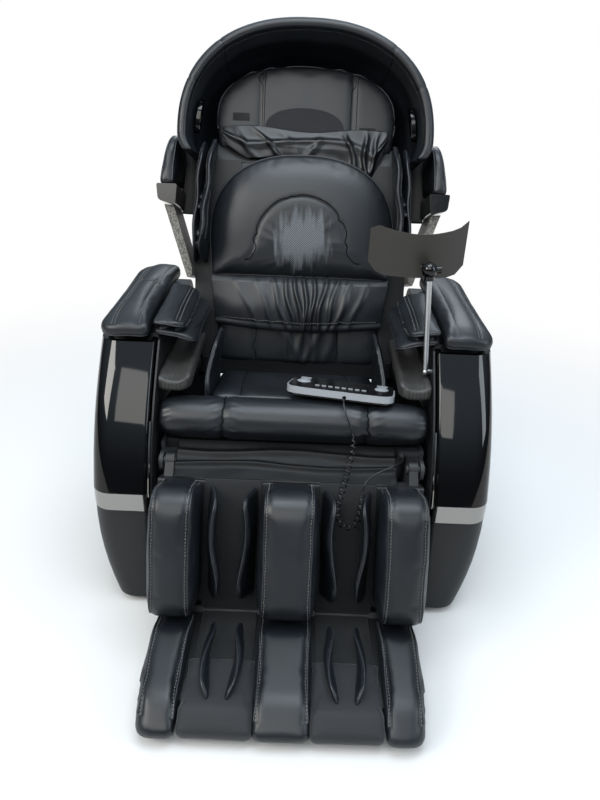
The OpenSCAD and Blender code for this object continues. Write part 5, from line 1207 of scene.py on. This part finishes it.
def makeHead():
    spec = headSpec
    line = [(-226 + 452 * k / 12, spec["low"]) for k in range(13)]
    for k in range(41):
        c, s = math.cos(math.pi * k / 40), math.sin(math.pi * k / 40)
        line.append((spec["wide"] * math.copysign(abs(c) ** 0.8, c), spec["high"] - 150 + 150 * max(s, 0) ** 0.75))
    form = {"line": line, "thick": 32, "edge": 8, "crown": 3, "place": lambda x, z, h: inBack(x, 60 - h, z)}
    panel = softFrom("headPanel", ["head_panel"], "back", blackLeather, "black_leather", [padForm(form)], cap=0.003,
                     only=lambda c: (c - inBack(0, 40, 700)).length < 0.06)
    for x in spec["seams"]:
        sew(panel, "back", [inBack(x, 0, z) for z in range(spec["low"] + 4, spec["high"] - 6, 8)], (), valley=(0.012, 0.0020), crease=(0.0030, 0.0022))
        for apart in (0, 7):
            seamShadeLine("back", panel, [inBack(x + apart, 0, z) for z in range(spec["low"] + 4, spec["high"] - 4, 8)], 0.0008)
    top = [p + Vector((0, -0.002, 0.002)) * math.sin(i * 0.31 + 2 * math.sin(i * 0.11)) for i, p in enumerate(laidOn(panel, rimOf(form, lambda p: p.y > 640, 0.9)))]
    pipeAlong("back", top, 0.0016)
    window = []
    for k in range(48):
        a = 2 * math.pi * k / 48
        c, s = math.cos(a), math.sin(a)
        window.append((-4 + 104 * math.copysign(abs(c) ** 0.9, c), 650 + (54 * abs(s) ** 0.9 if s > 0 else -20 * abs(s) ** 0.5)))
    patchOn("meshWindow", panel, inBack, window, 0.0010, spacerMesh, "back", "apron_cloth", bulge=0.0006)
    for name, x, z in (("hookPatchRight", -170, 677), ("hookPatchLeft", 161, 652)):
        square = [(x + dx, z + dz) for dx, dz in ((-22, -10), (0, -10), (22, -10), (22, 0), (22, 10), (0, 10), (-22, 10), (-22, 0))]
        patchOn(name, panel, inBack, square, 0.0014, hookTape, "back", "apron_cloth")
    edge = clothSpec["edge"]

    def clothSpot(u, v, d):
        x = clothSpec["wide"] * (2 * u - 1)
        low = float(np.interp(x, [p[0] for p in edge], [p[1] for p in edge]))
        z = clothSpec["top"] + 6 * math.sin(9 * u) + (low - clothSpec["top"]) * v
        fold = 0.0
        for a, b, wide, high in ((0.05, 0.20, 0.026, 5), (0.17, 0.36, 0.020, 7), (0.36, 0.47, 0.030, 4), (0.60, 0.52, 0.026, 5), (0.74, 0.80, 0.018, 9), (0.86, 0.87, 0.016, 10), (0.95, 0.89, 0.016, 7)):
            middle = a + (b - a) * v + 0.01 * math.sin(6 * v + 30 * a)
            fold += high * math.exp(-(((u - middle) / wide) ** 2)) * min(1, 2.2 * v + 0.05)
        fold += 5 * math.exp(-(((v - 0.45 - 0.12 * math.sin(8 * u)) / 0.10) ** 2)) + 3 * noise.noise(Vector((u * 9, v * 3, 4))) * v
        y = 24 - 14 * min(1, 1.6 * v) - fold + 6 * v
        return inBack(x, y - d, z)

    cloth = sheetOf("headCloth", clothSpot, 220, 40, 1.2, satinLining, "back", "black_leather")
    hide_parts("head_panel")

    def neckSpot(u, v, d):
        x = 236 * (2 * u - 1)
        y, z = 17.5 + 26 * v**2, 520 + 92 * v
        return inBack(x, y - d + 1.5 * noise.noise(Vector((u * 8, v * 3, 8))), z)

    neck = sheetOf("neckLining", neckSpot, 60, 14, 1.2, liningLeather, "back", "black_leather")
    print("head panel made")


def wingPlace(y, z, h):
    t = min(1, max(0, (z - 488) / 130)) ** 1.6
    return inBack(322 - 7 * t + h * (1 - 0.46 * t), y, z)


wingPad = {"corners": [(-66, 488, 10), (100, 488, 16), (120, 568, 40), (60, 618, 50), (-48, 618, 60)], "thick": 50, "edge": 9, "crown": 6, "place": wingPlace}


def shoulderLeaf(k):
    def place(y, z, h):
        v, r = min(1, max(0, (z - 298) / 318)), min(1, max(0, (16 - y) / 120))
        wave = 2.4 * r * math.sin(19 * v + 2 * k)
        return inBack(246 + 24 * k + h - 24 * v * v - 9 * r * math.sin(math.pi * v) + 16 * (1 - k) * (0.5 - v) * r + wave, y, z)
    return {"corners": [(-104 + 20 * k, 334, 60), (-20, 298, 20), (16, 302, 8), (16, 596, 8), (-30, 606 - 10 * k, 30), (-96 + 16 * k, 550, 70)],
            "thick": 17, "edge": 5, "crown": 4, "place": place}


def makeShoulders():
    wing = softFrom("wingLeft", ["wing_left"], "back", blackLeather, "black_leather", [padForm(wingPad)], 0.005, cap=0.003)
    other = mirrored(wing, "wingRight")
    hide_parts("wing_right")
    for at in (0.14, 0.86):
        rim = rimOf(wingPad, at=at, inset=1.0)
        for piece, line in ((wing, rim), (other, otherSide(rim))):
            pipeAlong("back", laidOn(piece, line), 0.0020, True)
    leaves = softFrom("shoulderLeavesLeft", ["shoulder_cells_left"], "back", blackLeather, "black_leather", [padForm(shoulderLeaf(0)), padForm(shoulderLeaf(1))], 0.0042, cap=0.003)
    other = mirrored(leaves, "shoulderLeavesRight")
    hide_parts("shoulder_cells_right")
    for side, word in ((1, "Left"), (-1, "Right")):
        def infillSpot(u, v, d):
            return inBack(side * (283 + 46 * u), 70 + 4 * math.sin(math.pi * u) - d, 430 + 176 * v)

        infill = sheetOf("wingInfill" + word, infillSpot, 10, 30, 1.4, liningLeather, "back", "black_leather")
    for k in (0, 1):
        rim = rimOf(shoulderLeaf(k), lambda p: p.x < 10)
        for piece, line in ((leaves, rim), (other, otherSide(rim))):
            pipeAlong("back", laidOn(piece, line), 0.0023)
        for piece, side in ((leaves, 1), (other, -1)):
            path = [(-96 + 20 * k + 17, 356), (-96 + 20 * k + 15, 450), (-96 + 16 * k + 15, 520), (-58, 584)]
            sew(piece, "back", [inBack(side * (238 if k == 0 else 296), y, z) for y, z in path], (1,), valley=(0.005, 0.001), crease=None)
    print("shoulders made")


def overFloor(y, up):
    return (up - 335 + y * math.sin(math.radians(21))) / math.cos(math.radians(21))


calfLine = [(-54, -304, 14), (-54, -22, 20), (-185, -22, 56), (-195, -148.9, 200), (-183, -304, 44)]
footLine = [(-277, overFloor(-276, 50) + 1, 3), (-84, overFloor(-84, 50) + 1, 5), (-80, -318, 6), (-175, -318, 44), (-302, -396, 90),
            (-336, overFloor(-336, 38), 14), (-320, overFloor(-320, 14), 10), (-278, overFloor(-276, 14), 7)]
soleLine = [(-277, overFloor(-276, 50) + 0.5, 2), (-186, overFloor(-186, 50) + 0.5, 4), (-192, overFloor(-192, 50) + 15, 5), (-310, overFloor(-310, 64), 16),
            (-332, overFloor(-332, 38), 10), (-318, overFloor(-318, 15), 8), (-278, overFloor(-276, 15), 6)]
footHeart = (-289, overFloor(-289, 50) + 10.5)
calfLeafLine = [(-54, -282, 6), (-54, -40, 10), (-146, -48, 34), (-158, -163, 120), (-138, -270, 40)]
footLeafLine = [(-126, overFloor(-126, 65.4), 4), (-114, -321, 5), (-162, -322, 26), (-214, -338, 60), (-286, overFloor(-286, 90), 24), (-300, overFloor(-300, 65.4), 6)]


def uprightPad(x, wide, corners, edge, crown, heart=None):
    spec = {"corners": corners, "thick": wide, "edge": edge, "crown": crown, "place": lambda y, z, h: inLeg(x - wide / 2 + h, y, z)}
    if heart:
        spec["heart"] = heart
    return spec


def roundedToe(spec, wide, outer):
    # a foot pad whose nose is turned back at its outer side; outer is the side that is free, 0 for none
    flat = spec["place"]

    def place(y, z, h):
        t = min(1, max(0, (-y - 236) / 100)) ** 2
        side = (h - wide / 2) / (wide / 2)
        free = max(0, side * outer)
        return flat(y + 22 * t * free**2, z, h - 9 * t * free * outer)

    return {**spec, "place": place}


def thinLeaf(x, side, corners, low, high):
    def place(y, z, h):
        v, r = min(1, max(0, (z - low) / (high - low))), min(1, max(0, (-54 - y) / 90))
        return inLeg(x + h - 8 + side * r * (20 + 9 * math.sin(2 * math.pi * v + math.radians(40))), y, z)
    return {"corners": corners, "thick": 16, "edge": 5, "crown": 3, "place": place}


def makeLegs():
    calfSpecs = [uprightPad(x, wide, calfLine, 17, 6) for x, wide in ((-243, 104), (0, 124), (243, 104))]
    calf = softFrom("calfPads", ["calf_pads"], "legrest", blackLeather, "black_leather", [padForm(s) for s in calfSpecs], 0.0062, cap=0.0035)
    wide = 280 - 94 - 62
    footSpecs = [roundedToe(uprightPad(x, w, footLine, 16, 7, footHeart), w, outer) for x, w, outer in ((-233, 94, -1), (0, 124, 0), (233, 94, 1))]
    soleSpecs = [uprightPad(side * (62 + wide / 2), wide + 24, soleLine, 10, 3, (footHeart[0], footHeart[1] - 3.5)) for side in (-1, 1)]
    foot = softFrom("footPads", ["foot_pads"], "footrest", blackLeather, "black_leather", [padForm(s) for s in footSpecs], 0.0058, cap=0.004)
    softFrom("solePads", ["foot_pads"], "footrest", soleVelour, "apron_cloth", [padForm(s) for s in soleSpecs], 0.0058, cap=0.004, fit=False)
    front = lambda p: p.x < -72 and p.y > -300
    for spec, half in zip(calfSpecs, (52, 62, 52)):
        for side in (-1, 1):
            sew(calf, "legrest", rimOf(spec, front, 0.5 + side * (0.5 - 19 / (2 * half)), 3), (-side,), valley=(0.006, 0.0011), crease=(0.0022, 0.0012))
            pipeAlong("legrest", laidOn(calf, rimOf(spec, front, 0.5 + side * (0.5 - 5 / (2 * half)))), 0.0019)
    toe = lambda p: p.x < -96 and p.y > overFloor(p.x, 54)
    for spec, half in zip(footSpecs, (47, 62, 47)):
        for side in (-1, 1):
            sew(foot, "footrest", rimOf(spec, toe, 0.5 + side * (0.5 - 18 / (2 * half)), 3), (-side,), valley=(0.006, 0.0010), crease=(0.0022, 0.0012))
            pipeAlong("footrest", laidOn(foot, rimOf(spec, toe, 0.5 + side * (0.5 - 5 / (2 * half)))), 0.0018)
    calfLeaves = [thinLeaf(62 + 16, 1, calfLeafLine, -304, -22), thinLeaf(295 - 104 - 16, -1, calfLeafLine, -304, -22)]
    calfPieces = softFrom("calfLeaves", ["calf_cells"], "legrest", blackLeather, "black_leather", flipped([padForm(s) for s in calfLeaves]), 0.0042, cap=0.003)
    footLeaves = [thinLeaf(62 + 16, 1, footLeafLine, -418, -318), thinLeaf(280 - 94 - 16, -1, footLeafLine, -418, -318)]
    footPieces = softFrom("footLeaves", ["foot_cells"], "footrest", blackLeather, "black_leather", flipped([padForm(s) for s in footLeaves]), 0.0042, cap=0.0025)
    for body, piece, specs, keep in (("legrest", calfPieces, calfLeaves, lambda p: p.x < -60), ("footrest", footPieces, footLeaves, lambda p: p.y > overFloor(p.x, 68))):
        for spec in specs:
            rim = rimOf(spec, keep)
            for line in (rim, otherSide(rim)):
                pipeAlong(body, laidOn(piece, line), 0.0022)
    for side, word in ((1, "Left"), (-1, "Right")):
        def calfWell(u, v, d):
            dip = 2.2 * noise.noise(Vector((u * 3, v * 5, side * 2))) + 5 * math.sin(math.pi * u) * math.sin(math.pi * v)
            return inLeg(side * (64 + 126 * u), -56.5 - 0.3 * dip + 2 * max(0, (v - 0.96) / 0.04) - d, -320 + 296 * v)

        def footWell(u, v, d):
            y = -57 - 130 * max(0, 0.5 - v) * 2
            z = overFloor(-62, 50) + 2 + (-322 - overFloor(-62, 50)) * max(0, v - 0.5) * 2 if v > 0.5 else overFloor(y, 50) + 1.8
            return inLeg(side * (64 + 120 * u), y - d, z + d)

        # the wells' linings: black velour, darkened as painted shade in the wells
        lining = sheetOf("calfLining" + word, calfWell, 26, 50, 1.2, wellVelourAndShade, "legrest", "apron_cloth")
        lining = sheetOf("footLining" + word, footWell, 26, 50, 1.2, wellVelourAndShade, "footrest", "apron_cloth")
    print("legs made")


makeArms()
makeSeat()
makeCloths()
makeBackPad()
makeDrape()
makeHood()
makeHead()
makeShoulders()
makeLegs()

for name, source, material, slot in (
    ("panelLeft", "arm_front_left", pianoAbs, "gloss_black"), ("panelRight", "arm_front_right", pianoAbs, "gloss_black"),
    ("armShellLeft", "arm_side_left", etchedAbs, "matte_black"), ("armShellRight", "arm_side_right", etchedAbs, "matte_black"),
    ("lowerSkirts", "skirts", etchedAbs, "matte_black"), ("bandAndTrim", "chrome_bands", platedAbs, "bright_band"),
    ("deskPlate", "stand_plate", holderAbs, "holder_plastic"), ("mast", "stand_mast", drawnSteel, "mast_steel"),
    ("mastKnuckle", "stand_knuckle", pianoAbs, "knuckle_plastic"), ("remoteBody", "remote_case", remoteBlack, "gloss_black"),
    ("remoteRim", "remote_bezel", silverLacquer, "silver_plastic"), ("speakerRings", "hood_speakers", pianoAbs, "gloss_black"),
    ("struts", "wing_struts", speckledAbs, "speckled_plastic"), ("backShell", "back_shell", etchedAbs, "matte_black"),
):
    smoothCopy(name, source, material, slot)
print("hard shells finished")


def stitchTree():
    tree = bpy.data.node_groups.new("stitchesOnRows", "GeometryNodeTree")
    face = tree.interface
    face.new_socket("Rows", in_out="INPUT", socket_type="NodeSocketGeometry")
    face.new_socket("Spacing", in_out="INPUT", socket_type="NodeSocketFloat").default_value = 0.0068
    face.new_socket("Stitch length", in_out="INPUT", socket_type="NodeSocketFloat").default_value = 0.0050
    face.new_socket("Thread thickness", in_out="INPUT", socket_type="NodeSocketFloat").default_value = 0.0014
    face.new_socket("Thread", in_out="INPUT", socket_type="NodeSocketMaterial")
    face.new_socket("Stitches", in_out="OUTPUT", socket_type="NodeSocketGeometry")
    given = addNode(tree, "NodeGroupInput").outputs
    line = addNode(tree, "GeometryNodeMeshToCurve", None, {"Mesh": given["Rows"]})
    points = addNode(tree, "GeometryNodeCurveToPoints", {"mode": "LENGTH"}, {"Curve": line.outputs[0], "Length": given["Spacing"]})
    bead = addNode(tree, "GeometryNodeMeshIcoSphere", None, {"Radius": 0.5, "Subdivisions": 1})
    size = addNode(tree, "ShaderNodeCombineXYZ", None, {0: given["Thread thickness"], 1: given["Thread thickness"], 2: given["Stitch length"]})
    placed = addNode(tree, "GeometryNodeInstanceOnPoints", None, {"Points": points.outputs["Points"], "Instance": bead.outputs[0], "Rotation": points.outputs["Rotation"], "Scale": size.outputs[0]})
    real = addNode(tree, "GeometryNodeRealizeInstances", None, {0: placed.outputs[0]})
    done = addNode(tree, "GeometryNodeSetMaterial", None, {"Geometry": real.outputs[0], "Material": given["Thread"]})
    addNode(tree, "NodeGroupOutput", None, {0: done.outputs[0]})
    return tree


threadSpec = {"Spacing": 0.0068, "Stitch length": 0.0050, "Thread thickness": 0.0014, "Thread": sewingThread}


def makeStitches():
    tree = stitchTree()
    keys = {item.name: item.identifier for item in tree.interface.items_tree if item.in_out == "INPUT"}
    for body, rows in stitchRows.items():
        verts, edges = [], []
        for row in rows:
            base = len(verts)
            verts += [tuple(p) for p in row]
            edges += [(base + i, base + i + 1) for i in range(len(row) - 1)]
        mesh = bpy.data.meshes.new("stitches" + body.capitalize())
        mesh.from_pydata(verts, edges, [])
        piece = bpy.data.objects.new("stitches" + body.capitalize(), mesh)
        scene.collection.objects.link(piece)
        modifier = piece.modifiers.new("stitches", "NODES")
        modifier.node_group = tree
        for key, value in threadSpec.items():
            modifier[keys[key]] = value
        settle(piece)
        dress(piece, sewingThread, body, "black_leather")
        print("stitches on", body, len(piece.data.polygons))


makeStitches()
for body, lines in pipes.items():
    joined("piping" + body.capitalize(), [tubeParts(line, radius) for line, radius in lines], pipingLeather, body, "black_leather")
# the seam tubes: painted shade in the seams' creases
for body, lines in seams.items():
    joined("seams" + body.capitalize(), [tubeParts(line, radius) for line, radius in lines], seamShade, body, "black_leather")
print("piping made")


stageSpec = {"floor": "#cbcac8", "clear": 1.5, "white": 3.2}
sky, sun = (0.86, 0.94, 1.0), (1.0, 0.97, 0.92)
lamps = (("overhead", (0.1, -0.4, 3.0), (2.0, 1.4), 58, sky), ("leftSoft", (-2.2, -1.5, 2.3), (1.2, 1.4), 60, sun), ("rightSoft", (2.3, -1.0, 1.7), (0.8, 1.6), 22, sky),
         ("behind", (0.3, 2.4, 2.4), (2.2, 1.2), 34, sky), ("front", (-0.4, -3.0, 3.0), (2.6, 1.6), 46, sun))


def seenDirectly(tree):
    rays = addNode(tree, "ShaderNodeLightPath")
    both = addNode(tree, "ShaderNodeMath", {"operation": "ADD"}, {0: rays.outputs["Is Camera Ray"], 1: rays.outputs["Is Transmission Ray"]})
    return addNode(tree, "ShaderNodeMath", {"operation": "ADD", "use_clamp": True}, {0: both.outputs[0], 1: rays.outputs["Is Glossy Ray"]}).outputs[0]


def makeStage():
    mesh = bpy.data.meshes.new("floor")
    mesh.from_pydata([(-9, -9, 0), (9, -9, 0), (9, 9, 0), (-9, 9, 0)], [], [(0, 1, 2, 3)])
    floor = bpy.data.objects.new("floor", mesh)
    scene.collection.objects.link(floor)
    floor.location.z = -0.0005
    material, tree, surface, place = newMaterial("paintedStudioFloor")
    surface.inputs["Base Color"].default_value = linear(stageSpec["floor"])
    surface.inputs["Roughness"].default_value = 0.75
    far = addNode(tree, "ShaderNodeVectorMath", {"operation": "LENGTH"}, {0: place})
    fade = addNode(tree, "ShaderNodeMapRange", {"interpolation_type": "SMOOTHSTEP"}, {"Value": far.outputs["Value"], "From Min": 0.5, "From Max": 2.6})
    share = addNode(tree, "ShaderNodeMath", {"operation": "MULTIPLY"}, {0: fade.outputs[0], 1: seenDirectly(tree)})
    white = addNode(tree, "ShaderNodeEmission", None, {"Color": (1, 1, 1, 1), "Strength": 1.0})
    mixed = addNode(tree, "ShaderNodeMixShader", None, {0: share.outputs[0], 1: surface.outputs[0], 2: white.outputs[0]})
    output = next(n for n in tree.nodes if n.type == "OUTPUT_MATERIAL")
    tree.links.new(mixed.outputs[0], output.inputs["Surface"])
    mesh.materials.append(material)
    world = bpy.data.worlds.new("studio")
    scene.world = world
    world.use_nodes = True
    tree = world.node_tree
    tree.nodes.clear()
    rays = addNode(tree, "ShaderNodeLightPath")
    direct = addNode(tree, "ShaderNodeMath", {"operation": "ADD", "use_clamp": True}, {0: rays.outputs["Is Camera Ray"], 1: rays.outputs["Is Transmission Ray"]})
    aim = addNode(tree, "ShaderNodeSeparateXYZ", None, {0: addNode(tree, "ShaderNodeTexCoord").outputs["Generated"]})
    climb = addNode(tree, "ShaderNodeMapRange", {"interpolation_type": "SMOOTHSTEP"}, {"Value": aim.outputs[2], "From Min": -0.15, "From Max": 0.9, "To Min": 0.18, "To Max": 0.9})
    glow = addNode(tree, "ShaderNodeMapRange", {"interpolation_type": "SMOOTHSTEP"}, {"Value": aim.outputs[2], "From Min": 0.0, "From Max": 0.85, "To Min": 0.10, "To Max": 0.85})
    strength = addNode(tree, "ShaderNodeMix", {"data_type": "FLOAT"}, {0: rays.outputs["Is Glossy Ray"], 2: climb.outputs[0], 3: glow.outputs[0]})
    light = addNode(tree, "ShaderNodeBackground", None, {"Color": (0.74, 0.87, 1, 1), "Strength": strength.outputs[0]})
    shown = addNode(tree, "ShaderNodeBackground", None, {"Color": (1, 1, 1, 1), "Strength": 1.0})
    mix = addNode(tree, "ShaderNodeMixShader", None, {0: direct.outputs[0], 1: light.outputs[0], 2: shown.outputs[0]})
    addNode(tree, "ShaderNodeOutputWorld", None, {"Surface": mix.outputs[0]})
    for name, spot, size, power, tint in lamps:
        lamp = bpy.data.lights.new(name, "AREA")
        lamp.color = tint
        lamp.shape, lamp.size, lamp.size_y, lamp.energy = "RECTANGLE", size[0], size[1], power
        holder = bpy.data.objects.new(name, lamp)
        scene.collection.objects.link(holder)
        holder.location = spot
        holder.rotation_euler = (Vector((0, 0, 0.6)) - Vector(spot)).to_track_quat("-Z", "Y").to_euler()


makeStage()
